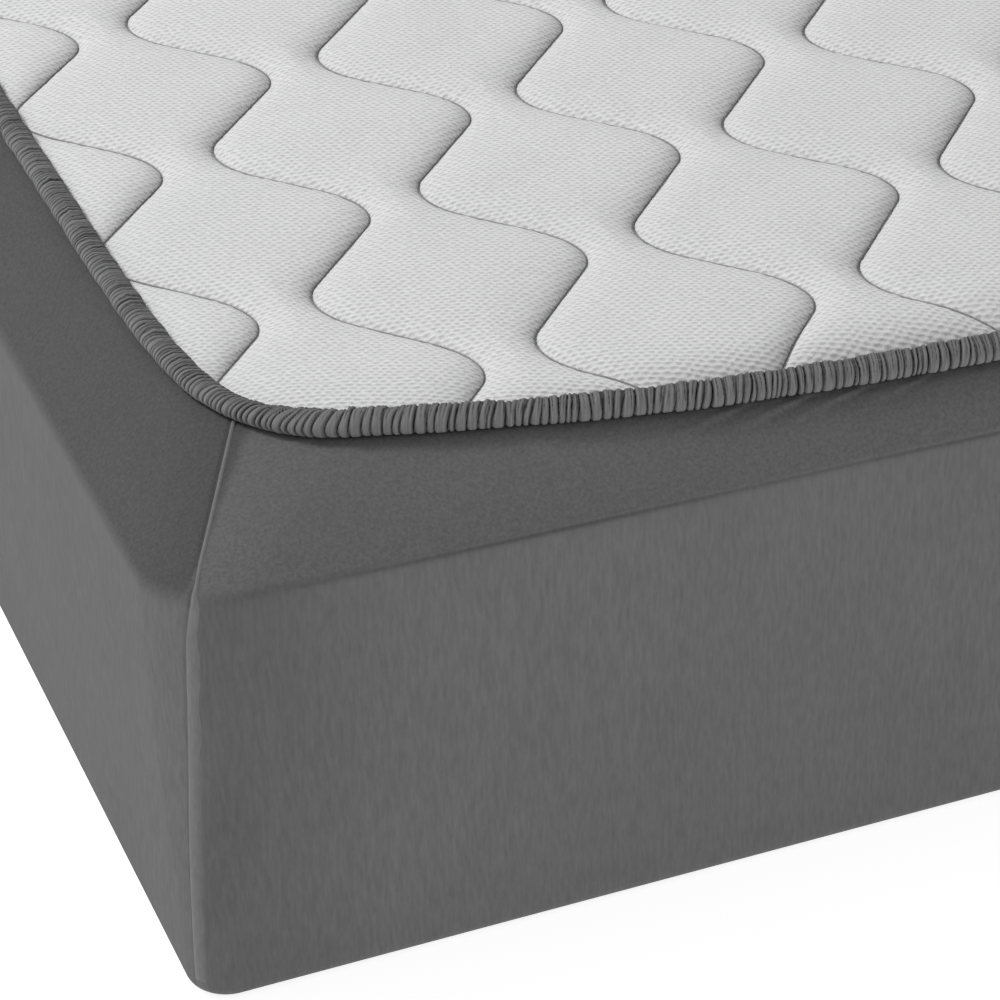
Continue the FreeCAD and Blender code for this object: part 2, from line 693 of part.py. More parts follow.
def make_sock():
    """The knitted fire barrier that closes round all the foam."""
    outside = slab_body("sock_outside", SOCK_INSET, SOCK_BASE, SOCK_TOP)
    inset = f"{SOCK_INSET} + sock_thickness"
    base = f"{SOCK_BASE} + sock_thickness"
    inside = slab_body("sock_inside", inset, base, f"{SOCK_TOP} - sock_thickness")
    finished(cut("fire_barrier_sock", outside, inside), "fire_barrier_sock")


def make_memory_foam():
    """The slow foam, next to the sleeping face."""
    top = f"{FOAM_BASE} + memory_foam_thickness"
    finished(slab_body("memory_foam_layer", FOAM_INSET, FOAM_BASE, top), "memory_foam_layer")


def make_rails():
    """The firm edge down each long side, as deep as the foam above the memory foam."""
    for name, near, far in (
        ("left_side_rail", f"{CORE_SIDE} + seam_gap", "mattress_width"),
        ("right_side_rail", "-1 * mattress_width", f"-1 * ( {CORE_SIDE} ) - seam_gap"),
    ):
        whole = slab_body(f"{name}_plan", FOAM_INSET, RELIEF_BASE, FOAM_TOP)
        window = box(
            f"{name}_window", "-1 * mattress_length", "mattress_length", near, far, "0", "rim_height"
        )
        rail = doc.addObject("Part::Common", name)
        rail.Base = whole
        rail.Tool = window
        finished(rail, name)


def make_support_core():
    """The firm foam between the rails."""
    block = box(
        "support_core", f"-1 * ( {CORE_END} )", CORE_END, f"-1 * ( {CORE_SIDE} )", CORE_SIDE,
        f"{RELIEF_TOP} + seam_gap", FOAM_TOP,
    )
    finished(block, "support_core")


def cut_slits(body, name, first, spacing, count, along, reach):
    """Cuts a row of straight slits up into the underside of a foam block, half way or more through it."""
    outline = new_sketch(body, f"{name}_outline", offset=RELIEF_BASE)
    low, high = f"{first} - slit_width / 2", f"{first} + slit_width / 2"
    ends = (f"-1 * ( {reach} )", reach) if along == "y" else reach
    if along == "y":
        draw_rectangle(outline, low, high, *ends)
    else:
        draw_rectangle(outline, *ends, low, high)
    slit = pocket(body, outline, "slit_depth", name)
    pattern = body.newObject("PartDesign::LinearPattern", f"{name}_row")
    pattern.Originals = [slit]
    axis = "H_Axis" if along == "y" else "V_Axis"
    pattern.Direction = (outline, [axis])
    pattern.setExpression("Length", bound(f"{count - 1} * ( {spacing} )"))
    pattern.Occurrences = count
    body.Tip = pattern
    doc.recompute()


def make_relief_zones():
    """Three blocks of castellated foam, with their slits towards the sleeping face."""
    heel_end = f"-1 * ( {CORE_END} )"
    torso_start = f"{heel_end} + heel_zone_length"
    torso_end = f"{torso_start} + torso_zone_length"
    zones = (
        ("heel_zone_foam", heel_end, f"{torso_start} - seam_gap"),
        ("torso_zone_foam", torso_start, f"{torso_end} - seam_gap"),
        ("head_zone_foam", torso_end, CORE_END),
    )
    for name, low, high in zones:
        body = doc.addObject("PartDesign::Body", name)
        outline = new_sketch(body, f"{name}_outline", offset=RELIEF_BASE)
        draw_rectangle(outline, low, high, f"-1 * ( {CORE_SIDE} )", CORE_SIDE)
        pad(body, outline, "relief_foam_thickness", f"{name}_block")
        doc.recompute()
        columns = int((size(high) - size(low)) // size("slit_spacing"))
        rows = int(2 * size(CORE_SIDE) // size("slit_spacing"))
        first_x = f"{low} + slit_spacing / 2"
        first_y = f"-1 * ( {CORE_SIDE} ) + slit_spacing / 2"
        cut_slits(body, f"{name}_cross_slit", first_x, "slit_spacing", columns, "y", CORE_SIDE)
        cut_slits(body, f"{name}_long_slit", first_y, "slit_spacing", rows, "x", (low, high))
        finished(body, name)


make_fitted_cover()
make_corner_seams()
make_hem()
make_upper_panel()
make_lower_panel()
make_tape_edges()
make_border()
make_zip_halves()
make_zip_stops()
make_zip_slider()
make_zip_pull()
make_sock()
make_memory_foam()
make_rails()
make_support_core()
make_relief_zones()
doc.recompute()

for entry in doc.Objects:
    if "Invalid" in entry.State or "Error" in entry.State:
        raise RuntimeError(f"{entry.Label} did not recompute: {entry.State}")
for piece in pieces:
    if piece.Shape.isNull() or not piece.Shape.isValid() or not piece.Shape.Solids:
        raise RuntimeError(f"{piece.Label} is not a sound solid")
for piece in pieces:
    piece.Shape.exportStep(f"parts/{piece.Label}.step")
    print(piece.Label, len(piece.Shape.Solids), round(piece.Shape.Volume / 1000, 2), "cm3")
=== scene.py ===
import math

import bmesh
import bpy
import numpy as np
from mathutils import Matrix, Vector
from mathutils.kdtree import KDTree


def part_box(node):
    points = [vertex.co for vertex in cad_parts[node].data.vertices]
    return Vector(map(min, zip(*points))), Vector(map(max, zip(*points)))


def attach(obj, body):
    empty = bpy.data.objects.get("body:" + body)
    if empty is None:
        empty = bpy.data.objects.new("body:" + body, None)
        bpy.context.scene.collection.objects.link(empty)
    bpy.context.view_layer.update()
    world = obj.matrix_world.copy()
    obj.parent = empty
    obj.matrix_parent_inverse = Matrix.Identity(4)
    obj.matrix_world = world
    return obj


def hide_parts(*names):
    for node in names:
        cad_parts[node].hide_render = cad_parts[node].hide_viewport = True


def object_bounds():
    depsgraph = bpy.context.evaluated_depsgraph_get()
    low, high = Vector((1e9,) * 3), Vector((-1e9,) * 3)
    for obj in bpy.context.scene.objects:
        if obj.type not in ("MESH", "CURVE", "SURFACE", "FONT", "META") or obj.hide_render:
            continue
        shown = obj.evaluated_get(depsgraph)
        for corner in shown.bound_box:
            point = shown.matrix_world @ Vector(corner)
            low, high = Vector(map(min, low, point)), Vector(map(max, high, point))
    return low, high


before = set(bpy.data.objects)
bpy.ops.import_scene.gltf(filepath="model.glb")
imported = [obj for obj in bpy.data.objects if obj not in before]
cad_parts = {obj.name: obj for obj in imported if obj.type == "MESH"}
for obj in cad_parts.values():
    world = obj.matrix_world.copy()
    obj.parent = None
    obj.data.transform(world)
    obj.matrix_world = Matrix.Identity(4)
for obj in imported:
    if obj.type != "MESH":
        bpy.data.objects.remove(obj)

# A foam pressure relief mattress, lying turned over in a deep fitted cover.
# The visual model replaces the outer cloth: the fitted cover with its corner seams, the gathered hem
# and the quilted face. The layers inside stay as the CAD has them. All lengths are in metres.

CAD_LOW, CAD_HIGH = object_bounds()
BODY = "mattress"
MM = 0.001

# ---- the mattress's own measures ----

HALF_LENGTH = CAD_HIGH.x
HALF_WIDTH = CAD_HIGH.y
FACE_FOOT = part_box("upper_quilt_knit")[0].z
CROWN_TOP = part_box("upper_quilt_knit")[1].z
RIM = FACE_FOOT + 1.7 * MM
CROWN_RISE = CROWN_TOP - RIM
CROWN_RUN = 55 * MM
BASE_ROUND = 6 * MM
BASE_CORNER = 19 * MM
RIM_CORNER = 42 * MM
CLOTH = 0.8 * MM

# ---- camera ----

CAMERA_PLACE = Vector((-1.3034, -1.6504, 1.0262))
CAMERA_RIGHT = Vector((0.93095, -0.36414, -0.02691))
CAMERA_UP = Vector((0.21550, 0.48847, 0.84555))
CAMERA_BACK = Vector((-0.29476, -0.79297, 0.53322))


def add(name, data):
    """A new object in the scene."""
    thing = bpy.data.objects.new(name, data)
    bpy.context.scene.collection.objects.link(thing)
    return thing


def make_camera():
    data = bpy.data.cameras.new("camera")
    data.sensor_width = 36
    data.lens = 134.9
    data.clip_start = 0.05
    data.clip_end = 60
    camera = add("camera", data)
    turn = Matrix((CAMERA_RIGHT, CAMERA_UP, CAMERA_BACK)).transposed()
    camera.matrix_world = Matrix.Translation(CAMERA_PLACE) @ turn.to_4x4()
    bpy.context.scene.camera = camera


# ---- plan outlines ----
# A place round the mattress is a "turn" from 0 to 8. Even numbers start the sides: front, head end,
# back, foot end. Odd numbers start the corners that follow them.

CORNER_X = np.array([1, 1, -1, -1])
CORNER_Y = np.array([-1, 1, 1, -1])


def smooth(value):
    """A soft step from 0 to 1."""
    value = np.clip(value, 0, 1)
    return value * value * (3 - 2 * value)


def outline(half_x, half_y, radius, turn):
    """Points round a rectangle with round corners."""
    side = (np.floor(turn).astype(int) % 8) // 2
    in_corner = np.floor(turn).astype(int) % 2
    part = turn - np.floor(turn)
    before = (side + 3) % 4
    centre_x = (half_x - radius) * CORNER_X
    centre_y = (half_y - radius) * CORNER_Y
    share = np.where(in_corner == 1, 1, part)
    x = centre_x[before] * (1 - share) + centre_x[side] * share
    y = centre_y[before] * (1 - share) + centre_y[side] * share
    angle = np.radians(-90 + 90 * side + 90 * part * in_corner)
    return np.stack([x + radius * np.cos(angle), y + radius * np.sin(angle)], axis=1)


def corner_radius(height):
    """The cover's corners are tighter at the base than higher up."""
    middle = smooth((height / MM - 30) / 90)
    top = np.clip(height / RIM, 0, 1)
    return BASE_CORNER + (RIM_CORNER - BASE_CORNER) * (0.88 * middle + 0.12 * top)


def rim_inset(points):
    """How far points in plan lie inside the rim's outline."""
    away_x = np.abs(points[:, 0]) - (HALF_LENGTH - RIM_CORNER)
    away_y = np.abs(points[:, 1]) - (HALF_WIDTH - RIM_CORNER)
    outside = np.hypot(np.maximum(away_x, 0), np.maximum(away_y, 0))
    return RIM_CORNER - outside - np.minimum(np.maximum(away_x, away_y), 0)


def crown(inset):
    """The height of the quilted face's seams, by the distance from the rim."""
    rest = 1 - np.clip(inset / CROWN_RUN, 0, 1)
    return RIM + CROWN_RISE * (1 - rest * rest)


def crown_slope(inset):
    rest = 1 - np.clip(inset / CROWN_RUN, 0, 1)
    return 2 * CROWN_RISE * rest / CROWN_RUN


# the hem's middle line, by its distances from the end and from the long side of the mattress
HEM_END = 44.8 * MM
HEM_END_SWELL = 6.4 * MM
HEM_END_FADE = 45.5 * MM
HEM_END_START = 118 * MM
HEM_SIDE = 21.5 * MM
HEM_SIDE_SWELL = 34.9 * MM
HEM_SIDE_FADE = 122 * MM
HEM_SIDE_START = 99.3 * MM
HEM_TURN_HANDLE = 28.3 * MM


def hem_turn(part):
    """The hem's middle line round a corner: distances from the end and from the side. 0 is at the end."""
    from_end = HEM_END_SWELL / HEM_END_FADE
    from_side = HEM_SIDE_SWELL / HEM_SIDE_FADE
    start = np.array([HEM_END + HEM_END_SWELL, HEM_END_START])
    end = np.array([HEM_SIDE_START, HEM_SIDE + HEM_SIDE_SWELL])
    leave = np.array([from_end, -1]) / math.hypot(from_end, 1)
    arrive = np.array([1, -from_side]) / math.hypot(from_side, 1)
    first = start + leave * HEM_TURN_HANDLE
    second = end - arrive * HEM_TURN_HANDLE
    t = part[:, None]
    rest = 1 - t
    return rest**3 * start + 3 * rest**2 * t * first + 3 * rest * t**2 * second + t**3 * end


def hem_line(turn):
    """Points of the hem's middle line in plan."""
    step = np.floor(turn).astype(int) % 8
    part = turn - np.floor(turn)
    points = np.zeros((len(turn), 2))
    for section in range(8):
        here = step == section
        side = section // 2
        share = part[here]
        if section % 2 == 1:
            round_corner = hem_turn(share if side % 2 == 1 else 1 - share)
            points[here, 0] = CORNER_X[side] * (HALF_LENGTH - round_corner[:, 0])
            points[here, 1] = CORNER_Y[side] * (HALF_WIDTH - round_corner[:, 1])
        elif side % 2 == 0:
            run = (HALF_LENGTH - HEM_SIDE_START) * (2 * share - 1) * (1 if side == 0 else -1)
            away = HALF_LENGTH - HEM_SIDE_START - np.abs(run)
            inset = HEM_SIDE + HEM_SIDE_SWELL * np.exp(-away / HEM_SIDE_FADE)
            points[here, 0] = run
            points[here, 1] = (HALF_WIDTH - inset) * (-1 if side == 0 else 1)
        else:
            run = (HALF_WIDTH - HEM_END_START) * (2 * share - 1) * (1 if side == 1 else -1)
            away = HALF_WIDTH - HEM_END_START - np.abs(run)
            inset = HEM_END + HEM_END_SWELL * np.exp(-away / HEM_END_FADE)
            points[here, 0] = (HALF_LENGTH - inset) * (1 if side == 1 else -1)
            points[here, 1] = run
    return points


def unit(vectors):
    return vectors / np.linalg.norm(vectors, axis=1)[:, None]


def outward_normals(points):
    """Unit normals in plan of a closed loop of points that runs anticlockwise."""
    along = unit(np.roll(points, -1, axis=0) - np.roll(points, 1, axis=0))
    return np.stack([along[:, 1], -along[:, 0]], axis=1)


def loop_turns(long_count, end_count, corner_count):
    """Turns round the mattress, evenly spread on each side and each corner."""
    counts = [long_count, corner_count, end_count, corner_count] * 2
    return np.concatenate([start + np.arange(count) / count for start, count in enumerate(counts)])


def loop_length(points):
    """Distances along a closed loop of points, and its whole length."""
    steps = np.linalg.norm(np.roll(points, -1, axis=0) - points, axis=1)
    return np.concatenate([[0], np.cumsum(steps)[:-1]]), steps.sum()


def ripple(points, wavelength, seed, count=14):
    """Smooth random waves over points, about -1 to 1."""
    dice = np.random.default_rng(seed)
    heights = np.zeros(len(points))
    for _ in range(count):
        direction = dice.normal(size=points.shape[1])
        direction = direction / np.linalg.norm(direction)
        turns = points @ direction / (wavelength * dice.uniform(0.7, 1.6))
        heights += np.sin(2 * math.pi * (turns + dice.random()))
    return heights / math.sqrt(count)


# ---- meshes ----


def grid_faces(rows, columns, closed_rows=False, closed_columns=False):
    row = np.arange(rows if closed_rows else rows - 1)
    column = np.arange(columns if closed_columns else columns - 1)
    low, left = np.meshgrid(row, column, indexing="ij")
    high = (low + 1) % rows
    right = (left + 1) % columns
    corners = [low * columns + left, low * columns + right, high * columns + right, high * columns + left]
    return np.stack(corners, axis=-1).reshape(-1, 4)


def make_piece(name, points, faces, extra_faces=()):
    """A smooth-shaded mesh object from points and four-sided faces."""
    mesh = bpy.data.meshes.new(name)
    mesh.from_pydata(points.tolist(), [], faces.tolist() + list(extra_faces))
    mesh.validate()
    mesh.shade_smooth()
    piece = add(name, mesh)
    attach(piece, BODY)
    return piece


def merge_points(piece, distance):
    """Joins points that lie in one place."""
    work = bmesh.new()
    work.from_mesh(piece.data)
    bmesh.ops.remove_doubles(work, verts=work.verts, dist=distance)
    bmesh.ops.dissolve_degenerate(work, edges=work.edges, dist=distance)
    work.to_mesh(piece.data)
    work.free()


def store(piece, name, values):
    """Keeps a number at each point of the mesh for its material."""
    attribute = piece.data.attributes.new(name, "FLOAT", "POINT")
    attribute.data.foreach_set("value", np.asarray(values, np.float32))


# ---- the fitted cover ----

HEM_HALF = 5.2 * MM
TURN_STEP = 1e-3
RIM_TURN = 5 * MM
CREASE_DEPTH = 0.5 * MM
CREASE_WIDTH = 0.13
LIP_BULGE = 1.6 * MM
# the share of the lip that the turn over the rim takes up
LIP_START = 0.16
LIP_THICKNESS = 2.0 * MM
WALL_THICKNESS = 1.4 * MM
# the rim is pulled up a little along the sides, next to the corners
RIM_LIFT = 7.5 * MM
LIFT_BASE = 120 * MM
WALL_TOP = RIM - 5 * MM
WALL_WAVE = 0.3 * MM
# painted shade: the cover's end pieces, and the side pieces next to the corners, are painted darker, as
# shading from how the light falls on them
END_LIP_SHADE = 0.40
END_WALL_SHADE = 0.18
CORNER_SHADE = 0.17


def seam_part(kind, level):
    """Where the corner seam crosses a row of the cover: from 0 at the mattress's end to 1 at its side."""
    if kind == "lip":
        return 0.542 - 0.142 * level
    if kind == "rim":
        start = seam_part("wall", RIM)
        return start + (seam_part("lip", 0) - start) * level
    near_rim = smooth((level - RIM) / (22 * MM) + 1)
    return 0.30 + 0.21 * np.clip(level / RIM, 0, 1) + 0.032 * near_rim


def corner_part(turn):
    """The way round a corner, from 0 at the end to 1 at the side. It is -1 along ends, 2 along sides."""
    section = np.floor(turn).astype(int) % 8
    part = turn - np.floor(turn)
    round_corner = np.where(section % 4 == 1, 1 - part, part)
    return np.where(section % 2 == 1, round_corner, np.where(section % 4 == 2, -1.0, 2.0))


def seam_groove(turn, seam):
    """1 in the narrow groove on the end's side of a corner seam, 0 away from it. The cover is dented
    there and painted darker, as painted shade in the groove.
    """
    return np.exp(-(((corner_part(turn) - seam + 0.024) / 0.011) ** 2))


def rim_lift(turn):
    """How far the rim is pulled up."""
    away = HALF_LENGTH - np.abs(outline(HALF_LENGTH, HALF_WIDTH, RIM_CORNER, turn)[:, 0])
    lift = np.exp(-away / (230 * MM)) * smooth((420 * MM - away) / (120 * MM))
    return RIM_LIFT * lift * smooth(1.05 * np.clip(corner_part(turn), 0, 1))


def lip_ends(turn):
    """For each turn, the rim's point and the point where the lip meets the hem."""
    rim_plan = outline(HALF_LENGTH, HALF_WIDTH, RIM_CORNER, turn)
    along = unit(hem_line((turn + TURN_STEP) % 8) - hem_line((turn - TURN_STEP) % 8))
    normals = np.stack([along[:, 1], -along[:, 0]], axis=1)
    mouth_plan = hem_line(turn) + normals * HEM_HALF
    mouth_height = crown(rim_inset(mouth_plan)) + CLOTH
    rim_points = np.column_stack([rim_plan, RIM + rim_lift(turn)])
    mouth_points = np.column_stack([mouth_plan, mouth_height])
    return rim_points, mouth_points


def lip_point(turn, share):
    """A point of the lip at each turn, from the rim at 0 to the hem's outer edge at 1."""
    rim_points, mouth_points = lip_ends(turn)
    points = rim_points + (mouth_points - rim_points) * share
    points[:, 2] += LIP_BULGE * 4 * share * (1 - share)
    return points


def wall_point(turn, height):
    """A point of the cover's wall, its rounded base edge included."""
    angle = math.asin(min(max(1 - height / BASE_ROUND, 0), 1))
    inset = BASE_ROUND * (1 - math.cos(angle))
    radius = max(corner_radius(height) - inset, 4 * MM)
    plan = outline(HALF_LENGTH - inset, HALF_WIDTH - inset, radius, turn)
    rise = smooth((height - LIFT_BASE) / (WALL_TOP - LIFT_BASE)) * rim_lift(turn)
    return np.column_stack([plan, height + rise])


def wall_wave(points, height):
    """How far the cloth of the wall lies inside its flat shape."""
    fade = smooth((height / MM - 10) / 40) * smooth((190 - height / MM) / 30)
    return WALL_WAVE * fade * (1 - np.clip(ripple(points, 0.16, 11), -1, 1))


def rim_point(turn, share):
    """The turn from the wall to the lip, from 0 on the wall to 1 on the lip."""
    start = wall_point(turn, WALL_TOP)
    rim_points, mouth_points = lip_ends(turn)
    end = rim_points + unit(mouth_points - rim_points) * RIM_TURN
    rest = 1 - share
    return rest * rest * start + 2 * rest * share * rim_points + share * share * end


def base_ring(turn, inset, height):
    """A ring of the cover's base, at a distance inside its edge."""
    left = max(HALF_WIDTH - inset, 0)
    plan = outline(HALF_LENGTH - inset, left, min(BASE_CORNER, left), turn)
    return np.column_stack([plan, np.full(len(turn), height)])


def cover_surface(turn):
    """Rows of points from the middle of the base, out, up the walls and over the lip to under the hem."""
    rows = []
    for inset in (450, 448, 400, 300, 200, 120, 60, 30, 14):
        rows.append(("base", base_ring(turn, inset * MM, 0.0), 0))
    for step in range(9):
        angle = math.radians(90 * step / 9)
        height = BASE_ROUND * (1 - math.cos(angle))
        rows.append(("wall", wall_point(turn, height), height))
    for height in np.linspace(BASE_ROUND, WALL_TOP, 34):
        rows.append(("wall", wall_point(turn, height), height))
    for share in np.linspace(0, 1, 17)[1:]:
        rows.append(("rim", rim_point(turn, share), share))
    for share in np.linspace(LIP_START, 1.0, 26)[1:]:
        rows.append(("lip", lip_point(turn, share), share))
    return rows


def make_cover():
    turn = loop_turns(640, 290, 110)
    rows = cover_surface(turn)
    count = len(turn)
    rim_points, mouth_points = lip_ends(turn)
    wall_normal = np.column_stack([outward_normals(rim_points[:, :2]), np.zeros(count)])
    mouth_at, mouth_length = loop_length(mouth_points[:, :2])
    up = np.array([0, 0, 1.0])
    end_cloth = smooth((0.54 - corner_part(turn)) / 0.08)
    from_end = HALF_LENGTH - np.abs(rim_points[:, 0])
    from_corner = np.maximum(from_end, HALF_WIDTH - np.abs(rim_points[:, 1]))
    near_corner = smooth((115 * MM - from_corner) / (90 * MM)) * (1 - end_cloth)
    # crease_share sets how deep the crease under the rim is dented and how dark it is painted, as painted
    # shade in the crease
    crease_share = 0.06 + 0.94 * smooth((from_corner - 30 * MM) / (90 * MM)) * (1 - end_cloth)
    crease_share = crease_share * (0.8 + 0.2 * ripple(rim_points[:, :2], 0.12, 5))
    surface = []
    marks = {"lip": [], "line": [], "side_shade": []}
    for kind, points, level in rows:
        mark = 0.0
        # line: painted shade in the rim's crease and in the grooves beside the corner seams
        line = np.zeros(count)
        groove = seam_groove(turn, seam_part(kind, level))
        if kind == "wall":
            line = 0.5 * groove
            points = points - wall_normal * (wall_wave(points, level) + 0.3 * MM * line)[:, None]
        elif kind == "rim":
            mark = level
            fold = np.exp(-(((level - 0.5) / CREASE_WIDTH) ** 2)) * crease_share
            line = np.maximum(fold, 0.7 * groove)
            points = points - (wall_normal * 0.8 + up * 0.3) * (CREASE_DEPTH * line)[:, None]
        elif kind == "lip":
            mark = 1.0
            line = groove
            points = points + lip_folds(points, mouth_points, mouth_at, mouth_length, wall_normal)
            points = points - up * (0.3 * MM * line)[:, None]
        surface.append(points)
        marks["lip"].append(np.full(count, mark))
        marks["line"].append(line)
        # painted shade on the end pieces and on the sides next to the corners
        wall_shade = END_WALL_SHADE * (1 - smooth(corner_part(turn) / 0.45))
        darker = end_cloth * (wall_shade + (END_LIP_SHADE - wall_shade) * mark)
        marks["side_shade"].append(1 - darker - CORNER_SHADE * near_corner * (1 - 0.6 * mark))
    # the cloth's edge goes under the hem and back along its inner side
    under = mouth_points.copy()
    middle = hem_line(turn)
    under[:, :2] = middle
    under[:, 2] = crown(rim_inset(middle)) + CLOTH
    surface.append(under)
    surface.append(under - up * CLOTH)
    inner = []
    for share in (0.9, 0.6, 0.3):
        inner.append(lip_point(turn, share) - up * LIP_THICKNESS - wall_normal * 0.6 * MM)
    for height in (185, 150, 120, 105, 90, 75, 60, 45, 30, 18, 6):
        inner.append(wall_point(turn, height * MM) - wall_normal * WALL_THICKNESS)
    for inset in (24, 200, 450):
        inner.append(base_ring(turn, inset * MM, 1.0 * MM))
    surface += inner
    marks["lip"] += [np.ones(count)] * 2 + [np.zeros(count)] * len(inner)
    marks["line"] += [np.zeros(count)] * (2 + len(inner))
    marks["side_shade"] += [np.ones(count)] * (2 + len(inner))
    points = np.concatenate(surface)
    piece = make_piece("fitted_cover_cloth", points, grid_faces(len(surface), count, closed_columns=True))
    for name, values in marks.items():
        store(piece, name, np.concatenate(values))
    merge_points(piece, 0.05 * MM)
    return piece


# slanting puckers in the lip, as distances along its front from the corner, and how deep they are
FRONT_PUCKERS = [(268, 1.0), (296, 1.25), (322, 1.0), (351, 0.6), (205, 0.25), (86, 0.5)]


def lip_folds(points, mouth_points, mouth_at, mouth_length, wall_normal):
    """Shallow slanting puckers that fan out from the gathered hem and fade towards the rim."""
    away = np.linalg.norm(points - mouth_points, axis=1)
    push = np.zeros(len(points))
    dice = np.random.default_rng(21)
    places = []
    spot = 0.0
    while spot < mouth_length:
        spot += dice.uniform(30, 110) * MM
        places.append((spot, dice.uniform(0.3, 1.1), dice.choice([-1.0, 1.0]) * dice.uniform(0.5, 1.3)))
    front_end = 400 * MM
    shown_end = mouth_length - 420 * MM
    places = [place for place in places if front_end < place[0] < shown_end]
    start = HEM_SIDE_START
    places += [(distance * MM - start, depth, -1.15) for distance, depth in FRONT_PUCKERS]
    for spot, depth, slant in places:
        along = mouth_at - spot - slant * away
        along = (along + mouth_length / 2) % mouth_length - mouth_length / 2
        width = 3.2 * MM + 0.12 * away
        fold = -(along / width) * np.exp(0.5 - 0.5 * (along / width) ** 2)
        push += depth * MM * 0.8 * fold * np.exp(-away / (11 * MM)) * smooth(away / (3 * MM) + 0.3)
    slope = np.array([0, 0, 0.75]) + wall_normal * 0.65
    fine = 0.12 * MM * ripple(np.column_stack([mouth_at, away]), 0.006, 31) * np.exp(-away / (5 * MM))
    return slope * (push + fine - 0.8 * MM * np.exp(-away / (3.5 * MM)))[:, None]


# ---- corner seams ----


def make_corner_seam(node, corner):
    """The raised seam up one corner and over the lip to the hem. corner is 0 to 3 round the mattress."""
    flip = corner % 2 == 0

    def place(part, build, level):
        turn = np.array([2 * corner + 1 + (1 - part if flip else part)])
        return build(turn, level)[0]

    path = []
    sides = []
    step = 0.02
    stations = [("wall", height) for height in np.linspace(8 * MM, WALL_TOP, 70)]
    stations += [("rim", share) for share in np.linspace(0, 1, 9)[1:]]
    stations += [("lip", share) for share in np.linspace(LIP_START, 1.0, 40)[1:]]
    for kind, level in stations:
        build = {"wall": wall_point, "rim": rim_point, "lip": lip_point}[kind]
        part = seam_part(kind, level)
        path.append(place(part, build, level))
        sides.append(place(part + step, build, level) - place(part - step, build, level))
    path = np.array(path)
    sideways = unit(np.array(sides))
    level = np.array([height if kind == "wall" else RIM for kind, height in stations])
    wave = wall_wave(path, level)
    along = unit(np.gradient(path, axis=0))
    outward = unit(np.cross(sideways, along))
    centre = np.array([0, 0, 0.12])
    outward = outward * np.sign(np.sum(outward * (path - centre), axis=1))[:, None]
    length = np.concatenate([[0], np.cumsum(np.linalg.norm(np.diff(path, axis=0), axis=1))])
    across = np.array([-0.95, -0.8, -0.4, 0.05, 0.5, 0.85, 1.2, 1.5]) * MM
    out = np.array([-0.7, 0.1, 0.45, 0.6, 0.5, 0.25, -0.1, -0.7]) * MM
    on_wall = np.array([1.0 if kind == "wall" else 0.0 for kind, height in stations])
    on_wall = np.convolve(np.pad(on_wall, 6, mode="edge"), np.ones(13) / 13, mode="valid")
    # on the wall the seam allowance lies wider than on the lip, towards the long side
    wider = np.array([0, 0, 0.1, 0.5, 1.5, 2.8, 4.2, 4.6]) * MM
    spread = across[None, :] + on_wall[:, None] * wider[None, :]
    raised = out[None, :] * (1 - 0.5 * on_wall[:, None])
    # the wide part follows the round corner that it lies on
    raised = raised - on_wall[:, None] * spread**2 / (2 * corner_radius(level))[:, None]
    rings = (path - outward * wave[:, None])[:, None, :] + sideways[:, None, :] * spread[:, :, None]
    rings += outward[:, None, :] * raised[:, :, None]
    wobble = 0.06 * MM * np.sin(length / MM * 2 * math.pi / 3.1)
    rings += outward[:, None, :] * wobble[:, None, None]
    rows, columns = rings.shape[:2]
    points = rings.reshape(-1, 3)
    faces = grid_faces(rows, columns, closed_columns=True)
    caps = [list(range(columns))[::-1], list(range((rows - 1) * columns, rows * columns))]
    piece = make_piece(node + "_ridge", points, faces, caps)
    work = bmesh.new()
    work.from_mesh(piece.data)
    bmesh.ops.recalc_face_normals(work, faces=work.faces)
    work.to_mesh(piece.data)
    work.free()
    # painted highlight: the seam is painted lighter along its ridge and lip, less across the wide
    # allowance on the wall
    store(piece, "seam_highlight", np.clip(on_wall[:, None] * spread / (6 * MM), 0, 1).ravel())
    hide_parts(node)
    return piece


# ---- the gathered hem ----

# the hem's oval section: where its middle is, and half its width and height
HEM_OVAL = (0.0, 3.9, 6.3, 4.4)
HEM_STEP = 0.42 * MM
# how far apart the gathers on the hem's inner half are, as a share of those on its outer half
INNER_PITCH = 0.55


def hem_profile():
    """Points of the hem's section: across, up, and their shares of the coarse and of the fine gathers."""
    points = []
    x, y, wide, high = HEM_OVAL
    for angle in np.linspace(232, -44, 26):
        turn = math.radians(angle)
        dent = 0.55 * math.exp(-(((angle - 62) / 13) ** 2))
        coarse = np.interp(angle, [-44, 0, 60, 110, 150, 232], [0.2, 0.6, 0.7, 0.85, 1.0, 0.9])
        fine = np.interp(angle, [-44, 0, 55, 100, 125, 145], [0.3, 0.8, 1.0, 0.9, 0.5, 0.0])
        across = x + (wide - dent) * math.cos(turn)
        points.append((across, y + (high - dent) * math.sin(turn), coarse, fine))
    points += [(3.2, 0.2, 0, 0), (0.0, 0.1, 0, 0), (-3.2, 0.2, 0, 0)]
    return np.array(points)


def gathers(at, length, pitch, seed, usual):
    """Rounded gathers with sharp valleys between them: their height from 0 to 1, pitch and size."""
    dice = np.random.default_rng(seed)
    edges = [0.0]
    while edges[-1] < length:
        mean = np.interp(edges[-1], pitch[0], pitch[1])
        edges.append(edges[-1] + mean * dice.uniform(0.5, 1.5))
    edges = np.array(edges) * (length / edges[-1])
    count = len(edges) - 1
    index = np.clip(np.searchsorted(edges, at % length, side="right") - 1, 0, count - 1)
    wide = edges[index + 1] - edges[index]
    part = (at % length - edges[index]) / wide
    skew = dice.uniform(-0.18, 0.18, count)[index]
    part = part + skew * part * (1 - part) * 2
    power = dice.uniform(2.2, 5.0, count)[index] * wide / usual
    height = 1 - np.abs(2 * part - 1) ** power
    size = dice.uniform(0.5, 1.0, count)[index]
    return height, wide, size


def near_turn(turn, spot, width):
    """1 at one place round the mattress, fading to 0 away from it."""
    return np.exp(-(((turn - spot + 4) % 8 - 4) / width) ** 2)


